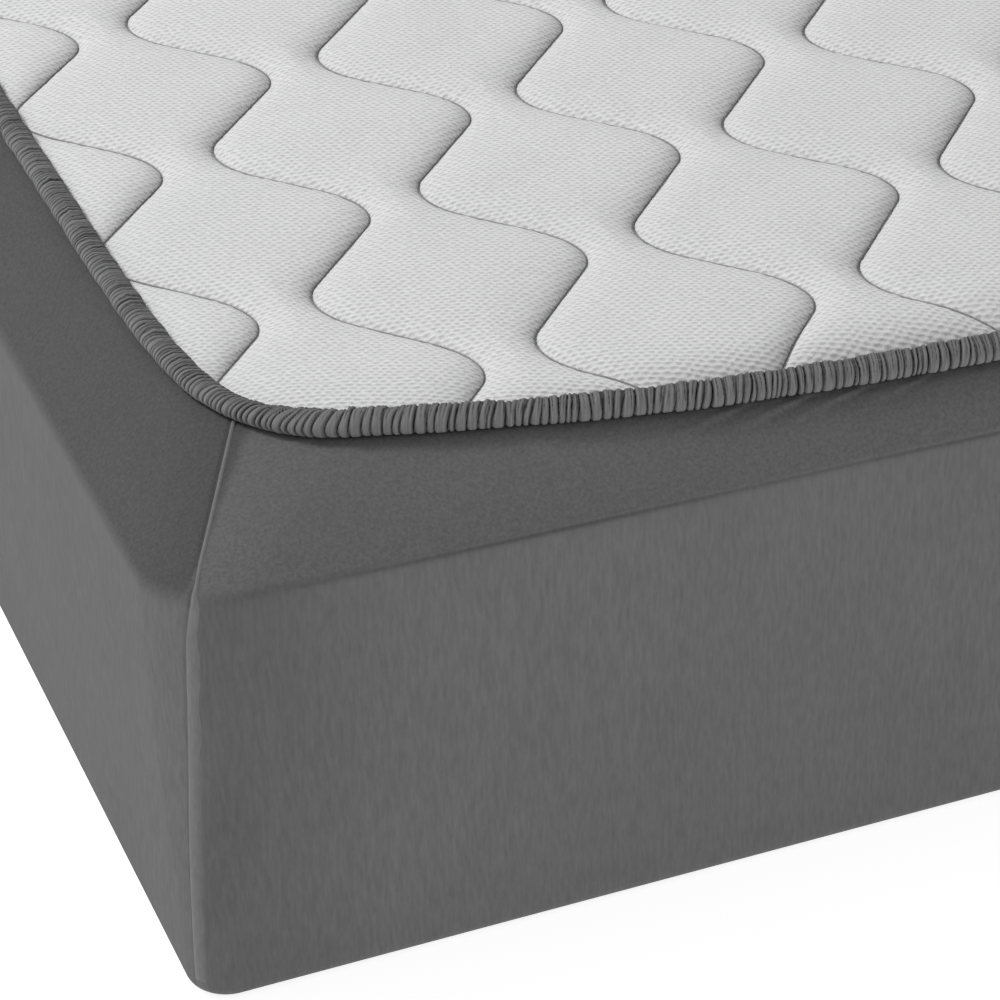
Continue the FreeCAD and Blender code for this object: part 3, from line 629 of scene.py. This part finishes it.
def make_hem():
    dense = loop_turns(3000, 1400, 260)
    line = hem_line(dense)
    at, length = loop_length(line)
    count = int(length / HEM_STEP)
    wanted = np.arange(count) * (length / count)
    closed_at = np.append(at, length)
    closed_turn = np.append(dense, 8.0)
    x = np.interp(wanted, closed_at, np.append(line[:, 0], line[0, 0]))
    y = np.interp(wanted, closed_at, np.append(line[:, 1], line[0, 1]))
    turn = np.interp(wanted, closed_at, closed_turn)
    plan = np.column_stack([x, y])
    along = unit(np.roll(plan, -6, axis=0) - np.roll(plan, 6, axis=0))
    inward = np.column_stack([-along[:, 1], along[:, 0]])
    inset = rim_inset(plan)
    tilt = np.arctan(crown_slope(inset))
    ground = crown(inset) + 0.6 * MM
    across_axis = np.column_stack([inward * np.cos(tilt)[:, None], np.sin(tilt)])
    up_axis = np.column_stack([-inward * np.sin(tilt)[:, None], np.cos(tilt)])
    middle = np.column_stack([plan, ground])
    profile = hem_profile()
    # gathers are wider along the sides of the mattress than across its ends
    quarter = [0.0, 0.5, 1.0, 1.5, 2.0, 3.0, 3.5, 4.0, 5.0, 5.5, 6.0, 7.0, 7.5, 8.0]
    means = [3.8, 4.1, 3.8, 3.2, 2.9, 2.9, 3.2, 3.8, 3.8, 3.2, 2.9, 2.9, 3.2, 3.8]
    stops = np.interp(quarter, closed_turn, closed_at)
    outer_pitch = (stops, np.array(means) * MM)
    inner_pitch = (stops, np.array(means) * INNER_PITCH * MM)
    # the gathers lean over next to the corners
    lean_peak = near_turn(turn, 7.75, 0.35)
    lean_all = sum(near_turn(turn, spot, 0.3) for spot in (1.5, 3.5, 5.5))
    wave_at = np.column_stack([wanted, wanted * 0])
    lean = -MM * (0.5 + 1.6 * lean_peak + 1.2 * lean_all - 0.4 * ripple(wave_at, 0.011, 7))
    wander = 0.15 * MM * ripple(wave_at, 0.05, 3)
    # the hem is bunched up a little where the long sides run into the corners, and flatter on the ends
    ends = np.interp([0, 1, 4, 5], closed_turn, closed_at)
    gaps = np.abs((wanted[:, None] - ends[None, :] + length / 2) % length - length / 2)
    bunched = np.exp(-((gaps.min(axis=1) / (38 * MM)) ** 2))
    on_end = smooth((90 * MM - (HALF_LENGTH - np.abs(plan[:, 0]))) / (30 * MM))
    swell = (1 + 0.035 * ripple(wave_at, 0.018, 4)) * (1 + 0.22 * bunched - 0.07 * on_end)
    ruffle = 1 + 0.05 * ripple(wave_at, 0.009, 6)
    rows = []
    valley_shades = []
    inner_row_shades = []
    runs = []
    centres = profile[:, :2]
    before = np.roll(centres, 1, axis=0)
    after = np.roll(centres, -1, axis=0)
    run = unit(after - before)
    out = np.column_stack([-run[:, 1], run[:, 0]])
    for number, (w, h, coarse, fine) in enumerate(profile):
        spots = wanted + lean * (w + 3) / 4
        coarse_height, coarse_wide, coarse_size = gathers(spots, length, outer_pitch, 101, 3.4 * MM)
        fine_height, fine_wide, fine_size = gathers(spots, length, inner_pitch, 202, 1.5 * MM)
        coarse_depth = np.minimum(0.62 * coarse_wide, 2.1 * MM) * coarse_size
        fine_depth = np.minimum(0.5 * fine_wide, 1.1 * MM) * fine_size
        sink = coarse * coarse_depth * (1 - coarse_height) + fine * fine_depth * (1 - fine_height)
        local_w = w * MM * swell + wander
        local_h = h * MM * (swell if w < 0 else swell * ruffle)
        push = coarse * 0.5 * MM * coarse_size - sink
        local_w = local_w + out[number, 0] * push
        local_h = local_h + out[number, 1] * push
        point = middle + across_axis * local_w[:, None] + up_axis * local_h[:, None]
        rows.append(point)
        # painted light and shade: the gathers' valleys are painted dark and their ridges light
        valley_shade = coarse * (1 - coarse_height) * (0.6 + 0.4 * coarse_size) + 0.75 * fine * (1 - fine_height)
        valley_shades.append(np.clip(valley_shade, 0, 1))
        # the hem's inner half is painted a little darker, as shade under its outer roll
        edge = 1.0 + 0.9 * ripple(wave_at, 0.012, 8)
        inner_row_shades.append(smooth((w - edge) / 3 + 0.5) * (h > HEM_OVAL[1]))
        runs.append(spots)
    points = np.concatenate(rows)
    faces = grid_faces(len(rows), count, closed_rows=True, closed_columns=True)
    piece = make_piece("hem_gathers", points, faces)
    store(piece, "fold", np.concatenate(valley_shades))
    store(piece, "inner_row_shade", np.concatenate(inner_row_shades))
    store(piece, "run", np.concatenate(runs))
    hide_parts("hem_casing")
    keep = slice(None, None, 6)
    ring = [(-2.6, 3.2), (2.6, 3.2), (2.9, 3.5), (2.6, 3.8), (-2.6, 3.8), (-2.9, 3.5)]
    strip = [middle[keep] + across_axis[keep] * w * MM + up_axis[keep] * h * MM for w, h in ring[::-1]]
    band_faces = grid_faces(len(ring), len(strip[0]), closed_rows=True, closed_columns=True)
    band = make_piece("hem_elastic_band", np.concatenate(strip), band_faces)
    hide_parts("hem_elastic")
    return piece, band


# ---- the quilted face ----

LINE_SPACING = 76.5 * MM
FIRST_LINE = -HALF_LENGTH + 67.3 * MM
LINE_COUNT = 25
WAVE_LENGTH = 152.4 * MM
WAVE_REACH = 68.2 * MM
WAVE_ROUNDING = 42 * MM
WAVE_START = -HALF_WIDTH + 161.9 * MM
LINE_DRIFT = 0.021
DRIFT_ZERO = -HALF_WIDTH + 123 * MM


def triangle(phase):
    """A triangle wave, 1 where the phase is whole and -1 halfway."""
    return 4 * np.abs(phase - np.floor(phase) - 0.5) - 1


def quilt_wave(y, sign):
    """The wave of a stitch line: straight flanks, and turns rounded more on one side than the other."""
    spread = np.linspace(0, 1, 31) ** 1.6
    offsets = WAVE_ROUNDING * (spread - spread.mean())
    phase = (y - WAVE_START) / WAVE_LENGTH
    ahead = triangle(phase[:, None] + offsets[None, :] / WAVE_LENGTH).mean(axis=1)
    behind = triangle(phase[:, None] - offsets[None, :] / WAVE_LENGTH).mean(axis=1)
    share = np.clip(0.5 + 1.5 * sign * triangle(phase), 0, 1)
    return 0.5 * WAVE_REACH * sign * (ahead * (1 - share) + behind * share)


def quilt_line(number, y):
    """Where stitch line number crosses each y. Lines next to each other are half a wave apart."""
    centre = FIRST_LINE + LINE_SPACING * number + LINE_DRIFT * (y - DRIFT_ZERO)
    return centre + quilt_wave(y, 1 if number % 2 == 0 else -1)


def nearest(points, targets):
    """For each point in plan, the distance to the nearest target and that target's number."""
    tree = KDTree(len(targets))
    for index, (x, y) in enumerate(targets.tolist()):
        tree.insert((x, y, 0), index)
    tree.balance()
    found = [tree.find((x, y, 0)) for x, y in points.tolist()]
    return np.array([f[2] for f in found]), np.array([f[1] for f in found])


def beside_hem(points):
    """Which points in plan lie inside the hem, how far from its middle, and its nearest point."""
    middle = hem_line(loop_turns(900, 400, 80))
    distance, number = nearest(points, middle)
    inside = np.sum((points - middle[number]) * outward_normals(middle)[number], axis=1) < 0
    return inside, distance, middle[number]


def face_height(points):
    """The quilted face over points in plan: the height of its pillows, and its painted shade beside the
    stitch lines, on the flanks that face away from the light.
    """
    y = np.arange(-HALF_WIDTH, HALF_WIDTH, 0.8 * MM)
    distances = []
    numbers = []
    shade_sides = []
    for parity in (0, 1):
        lines = [np.column_stack([quilt_line(n, y), y]) for n in range(parity, LINE_COUNT, 2)]
        stitched = np.concatenate(lines)
        runs = np.concatenate([unit(np.gradient(line, axis=0)) for line in lines])
        distance, number = nearest(points, stitched)
        distances.append(np.sqrt(np.maximum(distance**2 - (0.5 * MM) ** 2, 0)))
        numbers.append(number)
        offset = points - stitched[number]
        run = runs[number]
        side = (run[:, 0] * offset[:, 1] - run[:, 1] * offset[:, 0]) / np.maximum(distance, 0.1 * MM)
        # painted shade: strongest beside the steep stitch lines, on their side away from the light
        shade_sides.append(smooth(0.6 + run[:, 0] * run[:, 1]) * smooth(0.5 + side))
    inset = rim_inset(points)
    base = crown(inset)
    near = np.minimum(*distances)
    pillow = 1.8 * MM * (1 - np.exp(-near / (2.8 * MM))) + 4.5 * MM * (1 - np.exp(-near / (11 * MM)))
    place = np.where(distances[0] < distances[1], numbers[0], numbers[1])
    crimp = ripple(np.column_stack([place * 1.1 * MM, near * 0.3]), 0.0052, 9)
    pillow += 0.36 * MM * crimp * np.exp(-near / (9 * MM)) * (1 - np.exp(-near / (1.5 * MM)))
    pillow += 0.35 * MM * ripple(points, 0.05, 13) * (1 - np.exp(-near / (15 * MM)))
    inside, hem_distance, hem_point = beside_hem(points)
    hem_height = crown(rim_inset(hem_point))
    free = np.where(inside, 1 - np.exp(-np.maximum(hem_distance - 4 * MM, 0) / (9 * MM)), 0)
    share = inset / np.maximum(inset + hem_distance, 1e-6)
    under_lip = RIM + (hem_height - RIM) * share - 3.2 * MM * np.sin(math.pi * np.clip(share, 0, 1))
    height = np.where(inside, base + pillow * free, np.minimum(under_lip, base))
    shade_side = np.where(distances[0] < distances[1], shade_sides[0], shade_sides[1])
    flank_shade = shade_side * np.exp(-near / (4.8 * MM)) * inside
    return np.maximum(height, FACE_FOOT + 1.5 * MM), flank_shade


FACE_MARGIN = 3 * MM


def face_end(y):
    """Half the length of the face at each y, inside the round corners."""
    half_y = HALF_WIDTH - FACE_MARGIN
    radius = RIM_CORNER - FACE_MARGIN
    past = np.clip(np.abs(y) - (half_y - radius), 0, radius)
    return HALF_LENGTH - FACE_MARGIN - radius + np.sqrt(np.maximum(radius**2 - past**2, 0))


def make_quilt():
    y = np.linspace(-HALF_WIDTH + FACE_MARGIN, HALF_WIDTH - FACE_MARGIN, 540)
    borders = [-face_end(y)]
    borders += [quilt_line(number, y) for number in range(LINE_COUNT)]
    borders += [face_end(y)]
    steps = 24
    share = (1 - np.cos(np.linspace(0, math.pi, steps + 1))) / 2
    share = 0.85 * share + 0.15 * np.linspace(0, 1, steps + 1)
    columns = []
    for left, right in zip(borders[:-1], borders[1:]):
        for part in share[:-1]:
            columns.append(left + (right - left) * part)
    columns.append(borders[-1])
    x = np.stack(columns, axis=1)
    rows, count = x.shape
    plan = np.column_stack([x.ravel(), np.repeat(y, count)])
    height, flank_shade = face_height(plan)
    top = np.column_stack([plan, height])
    grid = np.arange(rows * count).reshape(rows, count)
    loop = np.concatenate([grid[0, :], grid[1:, -1], grid[-1, -2::-1], grid[-2:0:-1, 0]])
    low = top[loop].copy()
    low[:, 2] = FACE_FOOT + 1.0 * MM
    first = len(top)
    under = first + np.arange(len(loop))
    ahead = np.roll(under, -1)
    wall = np.stack([under, ahead, np.roll(loop, -1), loop], axis=1)
    faces = np.concatenate([grid_faces(rows, count), wall])
    piece = make_piece("quilted_face", np.concatenate([top, low]), faces, [under[::-1].tolist()])
    store(piece, "flank_shade", np.concatenate([flank_shade, np.zeros(len(low))]))
    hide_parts("upper_quilt_knit", "upper_quilt_wadding")
    return piece


def make_threads():
    """The quilting thread along every stitch line, pulled in at each stitch."""
    rings = 6
    stitch = 3.2 * MM
    all_points = []
    all_faces = []
    all_caps = []
    thread_shade = []
    total = 0
    for number in range(LINE_COUNT):
        y = np.linspace(-HALF_WIDTH + 20 * MM, HALF_WIDTH - 20 * MM, 1000)
        line = np.column_stack([quilt_line(number, y), y])
        line = line[beside_hem(line)[0]]
        if len(line) < 30:
            continue
        at = np.concatenate([[0], np.cumsum(np.linalg.norm(np.diff(line, axis=0), axis=1))])
        wanted = np.arange(0, at[-1], stitch / 3)
        line = np.column_stack([np.interp(wanted, at, line[:, 0]), np.interp(wanted, at, line[:, 1])])
        height = crown(rim_inset(line))
        pull = np.abs(np.sin(math.pi * wanted / stitch))
        path = np.column_stack([line, height + (0.1 * pull + 0.6) * MM])
        along = unit(np.gradient(path, axis=0))
        side = unit(np.cross(along, np.array([0, 0, 1.0])))
        up = np.cross(side, along)
        radius = (0.3 + 0.08 * pull) * MM
        angles = np.arange(rings) * 2 * math.pi / rings
        circle = [side * math.cos(a) + up * math.sin(a) for a in angles]
        tube = np.stack([path + spoke * radius[:, None] for spoke in circle], axis=1)
        faces = grid_faces(len(path), rings, closed_columns=True)[:, ::-1] + total
        all_points.append(tube.reshape(-1, 3))
        # painted light and shade: the thread is painted dark along the steep stretches, which run across
        # the light, and light along the others
        thread_shade.append(np.repeat(smooth(0.5 + along[:, 0] * along[:, 1]), rings))
        all_faces.append(faces)
        end = total + len(path) * rings
        all_caps.append(list(range(total, total + rings)))
        all_caps.append(list(range(end - rings, end))[::-1])
        total = end
    piece = make_piece("quilting_thread", np.concatenate(all_points), np.concatenate(all_faces), all_caps)
    store(piece, "thread_shade", np.concatenate(thread_shade))
    return piece


# ---- materials ----


class Cloth:
    """A procedural material being put together."""

    def __init__(self, name, roughness=0.9, sheen=0.0, sheen_roughness=0.5, metallic=0.0, specular=0.5):
        self.material = bpy.data.materials.new(name)
        self.material.use_nodes = True
        self.tree = self.material.node_tree
        self.shader = self.tree.nodes["Principled BSDF"]
        self.set("Roughness", roughness)
        self.set("Sheen Weight", sheen)
        self.set("Sheen Roughness", sheen_roughness)
        self.set("Metallic", metallic)
        self.set("Specular IOR Level", specular)
        self.place = self.node("ShaderNodeTexCoord").outputs["Object"]

    def set(self, socket, value):
        self.shader.inputs[socket].default_value = value

    def node(self, kind, **settings):
        made = self.tree.nodes.new(kind)
        for key, value in settings.items():
            setattr(made, key, value)
        return made

    def link(self, source, target):
        self.tree.links.new(source, target)

    def noise(self, scale, stretch=(1, 1, 1), detail=3, roughness=0.5):
        """Noise over the object's own coordinates, squeezed by stretch."""
        mapping = self.node("ShaderNodeMapping")
        mapping.inputs["Scale"].default_value = stretch
        self.link(self.place, mapping.inputs["Vector"])
        noise = self.node("ShaderNodeTexNoise")
        noise.inputs["Scale"].default_value = scale
        noise.inputs["Detail"].default_value = detail
        noise.inputs["Roughness"].default_value = roughness
        self.link(mapping.outputs["Vector"], noise.inputs["Vector"])
        return noise.outputs["Fac"]

    def speckle(self, scale, low, high, stretch=(1, 1, 1), detail=3, roughness=0.5):
        """Noise whose usual range is mapped to a range of brightness."""
        return self.between(self.noise(scale, stretch, detail, roughness), 0.3, 0.7, low, high)

    def maths(self, operation, *values):
        node = self.node("ShaderNodeMath", operation=operation)
        for index, value in enumerate(values):
            if isinstance(value, (int, float)):
                node.inputs[index].default_value = value
            else:
                self.link(value, node.inputs[index])
        return node.outputs[0]

    def times(self, first, second):
        return self.maths("MULTIPLY", first, second)

    def between(self, value, low, high, to_low, to_high):
        """Maps a range of one value to a range of another."""
        node = self.node("ShaderNodeMapRange")
        self.link(value, node.inputs["Value"])
        names = ("From Min", "From Max", "To Min", "To Max")
        for name, number in zip(names, (low, high, to_low, to_high)):
            node.inputs[name].default_value = number
        return node.outputs["Result"]

    def mark(self, name):
        return self.node("ShaderNodeAttribute", attribute_name=name).outputs["Fac"]

    def wave(self, x, y, z=0.0):
        """The phase of waves along a direction that is given in cycles per metre."""
        dot = self.node("ShaderNodeVectorMath", operation="DOT_PRODUCT")
        self.link(self.place, dot.inputs[0])
        dot.inputs[1].default_value = (x * 2 * math.pi, y * 2 * math.pi, z * 2 * math.pi)
        return dot.outputs["Value"]

    def colour(self, base, factor):
        """The base colour, with its brightness multiplied by a factor."""
        node = self.node("ShaderNodeVectorMath", operation="SCALE")
        node.inputs[0].default_value = base
        self.link(factor, node.inputs["Scale"])
        self.link(node.outputs["Vector"], self.shader.inputs["Base Color"])

    def bump(self, height, distance, strength=1.0):
        node = self.node("ShaderNodeBump")
        node.inputs["Strength"].default_value = strength
        node.inputs["Distance"].default_value = distance
        self.link(height, node.inputs["Height"])
        self.link(node.outputs["Normal"], self.shader.inputs["Normal"])


COVER_COLOUR = (0.156, 0.156, 0.157)


def brushed_cloth(name):
    return Cloth(name, roughness=0.95, sheen=0.02, sheen_roughness=0.6, specular=0.12)


def cover_material():
    cloth = brushed_cloth("brushed_cover")
    lip = cloth.mark("lip")
    streaks = cloth.speckle(560, 0.86, 1.09, (1, 1, 0.17), 3, 0.65)
    strands = cloth.between(cloth.noise(230, (1, 1, 0.1), 2, 0.5), 0.35, 0.7, 0.975, 1.015)
    brushed = cloth.times(streaks, strands)
    grain = cloth.speckle(620, 0.8, 1.15, roughness=0.65)
    clouds = cloth.speckle(16, 0.97, 1.03, detail=4)
    mix = cloth.node("ShaderNodeMix", data_type="FLOAT")
    cloth.link(lip, mix.inputs["Factor"])
    cloth.link(brushed, mix.inputs["A"])
    cloth.link(grain, mix.inputs["B"])
    shade = cloth.times(mix.outputs["Result"], clouds)
    # painted shade on the end pieces and next to the corners
    shade = cloth.times(shade, cloth.mark("side_shade"))
    # painted shade in the rim's crease and in the seam grooves, from the line mark
    shade = cloth.times(shade, cloth.between(cloth.mark("line"), 0, 1, 1.0, 0.72))
    cloth.colour(COVER_COLOUR, shade)
    long_fibres = cloth.noise(900, (1, 1, 0.25), 3, 0.6)
    short_fibres = cloth.noise(1600, detail=2, roughness=0.6)
    cloth.bump(cloth.maths("ADD", long_fibres, short_fibres), 0.00025, 0.6)
    return cloth.material


def seam_material():
    """The cover's cloth folded over in a seam, with a painted highlight along its ridge and lip that
    fades across the wide allowance on the wall to a little painted shade.
    """
    cloth = brushed_cloth("folded_seam")
    grain = cloth.speckle(620, 0.9, 1.1, (1, 1, 0.25), 3, 0.65)
    fade = cloth.between(cloth.mark("seam_highlight"), 0, 1, 1.24, 0.94)
    cloth.colour(COVER_COLOUR, cloth.times(grain, fade))
    cloth.bump(cloth.noise(1600, detail=2, roughness=0.6), 0.00025, 0.6)
    return cloth.material


KNIT_TURN = math.radians(21)
KNIT_COS = math.cos(KNIT_TURN)
KNIT_SIN = math.sin(KNIT_TURN)


def hem_material():
    cloth = brushed_cloth("gathered_hem")
    fold = cloth.mark("fold")
    inner = cloth.mark("inner_row_shade")
    wrinkles = cloth.node("ShaderNodeTexNoise", noise_dimensions="1D")
    wrinkles.inputs["Scale"].default_value = 1100
    wrinkles.inputs["Detail"].default_value = 2
    cloth.link(cloth.mark("run"), wrinkles.inputs["W"])
    grain = cloth.between(wrinkles.outputs["Fac"], 0.3, 0.7, 0.82, 1.14)
    # painted highlight on the gathers' ridges and painted shade in their valleys
    shade = cloth.times(grain, cloth.between(fold, 0.06, 0.8, 1.46, 0.04))
    # painted shade on the hem's inner half
    shade = cloth.times(shade, cloth.between(inner, 0, 1, 1.0, 0.92))
    cloth.colour(COVER_COLOUR, shade)
    rough = cloth.maths("ADD", wrinkles.outputs["Fac"], cloth.noise(1300, roughness=0.6))
    cloth.bump(rough, 0.0004, 0.7)
    return cloth.material


def knit_material(name, base, cell_x=4.3, cell_y=2.45):
    """Pale knit with staggered rows of small flat loops. Its rows are a little askew to the mattress."""
    cloth = Cloth(name, roughness=0.85, sheen=0.1, sheen_roughness=0.4, specular=0.3)
    drift = cloth.speckle(90, -1.5, 1.5, roughness=0.6)
    across = 1000 / cell_x
    along = 1000 / cell_y
    total = None
    for u, v, weight in ((0, along, 1.1), (across, along / 2, 0.65), (across, -along / 2, 0.65)):
        x = u * KNIT_COS + v * KNIT_SIN
        y = v * KNIT_COS - u * KNIT_SIN
        ridge = cloth.maths("COSINE", cloth.maths("ADD", cloth.wave(x, y), drift))
        ridge = cloth.times(ridge, weight)
        total = ridge if total is None else cloth.maths("ADD", total, ridge)
    turned = cloth.node("ShaderNodeMapping", vector_type="TEXTURE")
    turned.inputs["Rotation"].default_value = (0, 0, -KNIT_TURN)
    cloth.link(cloth.place, turned.inputs["Vector"])
    squeezed = cloth.node("ShaderNodeVectorMath", operation="MULTIPLY")
    squeezed.inputs[1].default_value = (1.0, 2.4, 1.0)
    cloth.link(turned.outputs["Vector"], squeezed.inputs[0])
    loops = cloth.node("ShaderNodeTexNoise")
    loops.inputs["Scale"].default_value = 330
    loops.inputs["Detail"].default_value = 2
    loops.inputs["Roughness"].default_value = 0.6
    cloth.link(squeezed.outputs["Vector"], loops.inputs["Vector"])
    cells = cloth.between(total, -1.6, 2.2, 1.0, 0.0)
    shade = cloth.between(cells, 0, 1, 0.74, 1.0)
    shade = cloth.times(shade, cloth.between(loops.outputs["Fac"], 0.3, 0.7, 0.94, 1.05))
    shade = cloth.times(shade, cloth.speckle(1100, 0.9, 1.06, detail=2, roughness=0.7))
    shade = cloth.times(shade, cloth.speckle(9, 0.985, 1.01))
    # painted shade on the flanks beside the stitch lines that face away from the light
    shade = cloth.times(shade, cloth.between(cloth.mark("flank_shade"), 0, 1, 1.0, 0.62))
    cloth.colour(base, shade)
    height = cloth.maths("ADD", cells, cloth.times(loops.outputs["Fac"], 0.5))
    cloth.bump(height, 0.0004)
    return cloth.material


def thread_material():
    cloth = Cloth("quilting_yarn", roughness=0.7, sheen=0.1)
    twist = cloth.noise(1500, (1, 1, 1), 2, 0.5)
    # painted shade on the thread's steep stretches and painted light on the others
    depth = cloth.between(cloth.mark("thread_shade"), 0, 1, 2.3, 0.5)
    shade = cloth.times(cloth.between(twist, 0.3, 0.7, 0.85, 1.1), depth)
    cloth.colour((0.17, 0.17, 0.175), shade)
    cloth.bump(twist, 0.0001, 0.8)
    return cloth.material


def plain_weave(name, base, per_metre):
    """A small regular weave."""
    cloth = Cloth(name, roughness=0.85, sheen=0.1)
    warp = cloth.maths("COSINE", cloth.wave(per_metre, per_metre * 0.6, per_metre * 0.3))
    weft = cloth.maths("COSINE", cloth.wave(-per_metre * 0.5, per_metre, per_metre * 0.9))
    weave = cloth.times(warp, weft)
    crossings = cloth.between(weave, -1, 1, 0.88, 1.04)
    cloth.colour(base, cloth.times(crossings, cloth.speckle(30, 0.95, 1.03)))
    cloth.bump(weave, 0.0002, 0.7)
    return cloth.material


def foam(name, base, pore):
    """Open-cell foam with pores and slow changes of colour."""
    cloth = Cloth(name, roughness=0.95, specular=0.2)
    pores = cloth.node("ShaderNodeTexVoronoi")
    pores.inputs["Scale"].default_value = pore
    cloth.link(cloth.place, pores.inputs["Vector"])
    cells = pores.outputs["Distance"]
    pits = cloth.between(cells, 0, 0.6, 0.72, 1.05)
    cloth.colour(base, cloth.times(pits, cloth.speckle(8, 0.95, 1.04)))
    cloth.bump(cells, 0.0008, 0.8)
    return cloth.material


def zip_metal():
    cloth = Cloth("zip_metal_cast", roughness=0.38, metallic=0.85)
    scuffs = cloth.noise(600, (1, 0.2, 1), 3, 0.6)
    cloth.link(cloth.between(scuffs, 0.3, 0.7, 0.3, 0.5), cloth.shader.inputs["Roughness"])
    cloth.colour((0.36, 0.36, 0.37), cloth.speckle(90, 0.9, 1.05))
    cloth.bump(scuffs, 0.00005, 0.5)
    return cloth.material


def coil_plastic():
    cloth = Cloth("zip_coil_teeth", roughness=0.42)
    turns = cloth.maths("COSINE", cloth.wave(800, 0))
    cloth.colour((0.5, 0.5, 0.5), cloth.between(turns, -1, 1, 0.6, 1.05))
    cloth.bump(turns, 0.0003)
    return cloth.material


def use(piece, material):
    piece.data.materials.clear()
    piece.data.materials.append(material)


def dress_inside(knit):
    """Materials for the layers and the zip, which stay as the CAD has them."""
    border = knit_material("border_knit_cloth", (0.6, 0.6, 0.61))
    sock = knit_material("fire_knit_cloth", (0.75, 0.73, 0.68), 3.2, 1.6)
    scrim = plain_weave("scrim_cloth", (0.8, 0.8, 0.8), 500)
    edge_tape = plain_weave("edge_tape_cloth", (0.4, 0.4, 0.41), 1000)
    zip_tape = plain_weave("zip_tape_cloth", (0.5, 0.5, 0.5), 1200)
    wadding = foam("fibre_wadding", (0.85, 0.85, 0.83), 700)
    memory = foam("memory_foam_cells", (0.75, 0.72, 0.6), 600)
    relief = foam("relief_foam_cells", (0.35, 0.5, 0.65), 420)
    support = foam("support_foam_cells", (0.8, 0.8, 0.78), 420)
    rail = foam("rail_foam_cells", (0.45, 0.55, 0.5), 520)
    dress = [
        (knit, ["lower_quilt_knit"]),
        (wadding, ["lower_quilt_wadding"]),
        (scrim, ["lower_quilt_scrim", "upper_quilt_scrim"]),
        (edge_tape, ["upper_edge_tape", "lower_edge_tape"]),
        (border, ["border_strip", "zip_border_upper", "zip_border_lower"]),
        (zip_tape, ["zip_tape_upper", "zip_tape_lower"]),
        (coil_plastic(), ["zip_coil_upper", "zip_coil_lower"]),
        (zip_metal(), ["zip_top_stops", "zip_bottom_stop", "zip_slider", "zip_pull"]),
        (sock, ["fire_barrier_sock"]),
        (memory, ["memory_foam_layer"]),
        (relief, ["head_zone_foam", "torso_zone_foam", "heel_zone_foam"]),
        (support, ["support_core"]),
        (rail, ["left_side_rail", "right_side_rail"]),
    ]
    for material, nodes in dress:
        for node in nodes:
            use(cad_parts[node], material)


# ---- floor and light ----


FLOOR_HALF = 40.0


def make_floor():
    points = [(x * FLOOR_HALF, y * FLOOR_HALF, 0.0) for x, y in ((-1, -1), (1, -1), (1, 1), (-1, 1))]
    mesh = bpy.data.meshes.new("floor")
    mesh.from_pydata(points, [], [(0, 1, 2, 3)])
    floor = add("floor", mesh)
    floor.location.z = -0.0002
    paint = Cloth("studio_floor", roughness=0.9, specular=0.1)
    paint.colour((0.6, 0.6, 0.6), paint.speckle(0.7, 0.998, 1.0))
    paint.set("Emission Color", (1, 1, 1, 1))
    paint.set("Emission Strength", 0.8)
    use(floor, paint.material)


def make_light(name, place, target, size, power):
    data = bpy.data.lights.new(name, "AREA")
    data.shape = "RECTANGLE"
    data.size = size
    data.size_y = size
    data.energy = power
    light = add(name, data)
    light.location = place
    direction = Vector(target) - Vector(place)
    light.rotation_mode = "QUATERNION"
    light.rotation_quaternion = direction.to_track_quat("-Z", "Y")


def make_world(strength):
    world = bpy.data.worlds.new("studio")
    bpy.context.scene.world = world
    world.use_nodes = True
    background = world.node_tree.nodes["Background"]
    background.inputs["Color"].default_value = (1, 1, 1, 1)
    background.inputs["Strength"].default_value = strength


# ---- putting it together ----

make_camera()
cover = make_cover()
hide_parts("fitted_cover")
corners = ["head_front", "head_back", "foot_back", "foot_front"]
seams = [make_corner_seam("corner_seam_" + corner, number) for number, corner in enumerate(corners)]
hem, elastic_band = make_hem()
quilt = make_quilt()
threads = make_threads()

cover_cloth = cover_material()
use(cover, cover_cloth)
seam_cloth = seam_material()
for seam in seams:
    use(seam, seam_cloth)
use(hem, hem_material())
use(elastic_band, plain_weave("elastic_weave", (0.7, 0.7, 0.68), 1400))
quilt_knit = knit_material("quilt_knit_cloth", (0.885, 0.885, 0.89))
use(quilt, quilt_knit)
use(threads, thread_material())
dress_inside(quilt_knit)

make_floor()
make_world(0.45)
make_light("left_key", (-3.05, 1.6, 3.65), (-0.8, -0.2, 0.2), 1.2, 110)
bpy.context.scene.view_settings.view_transform = "Standard"
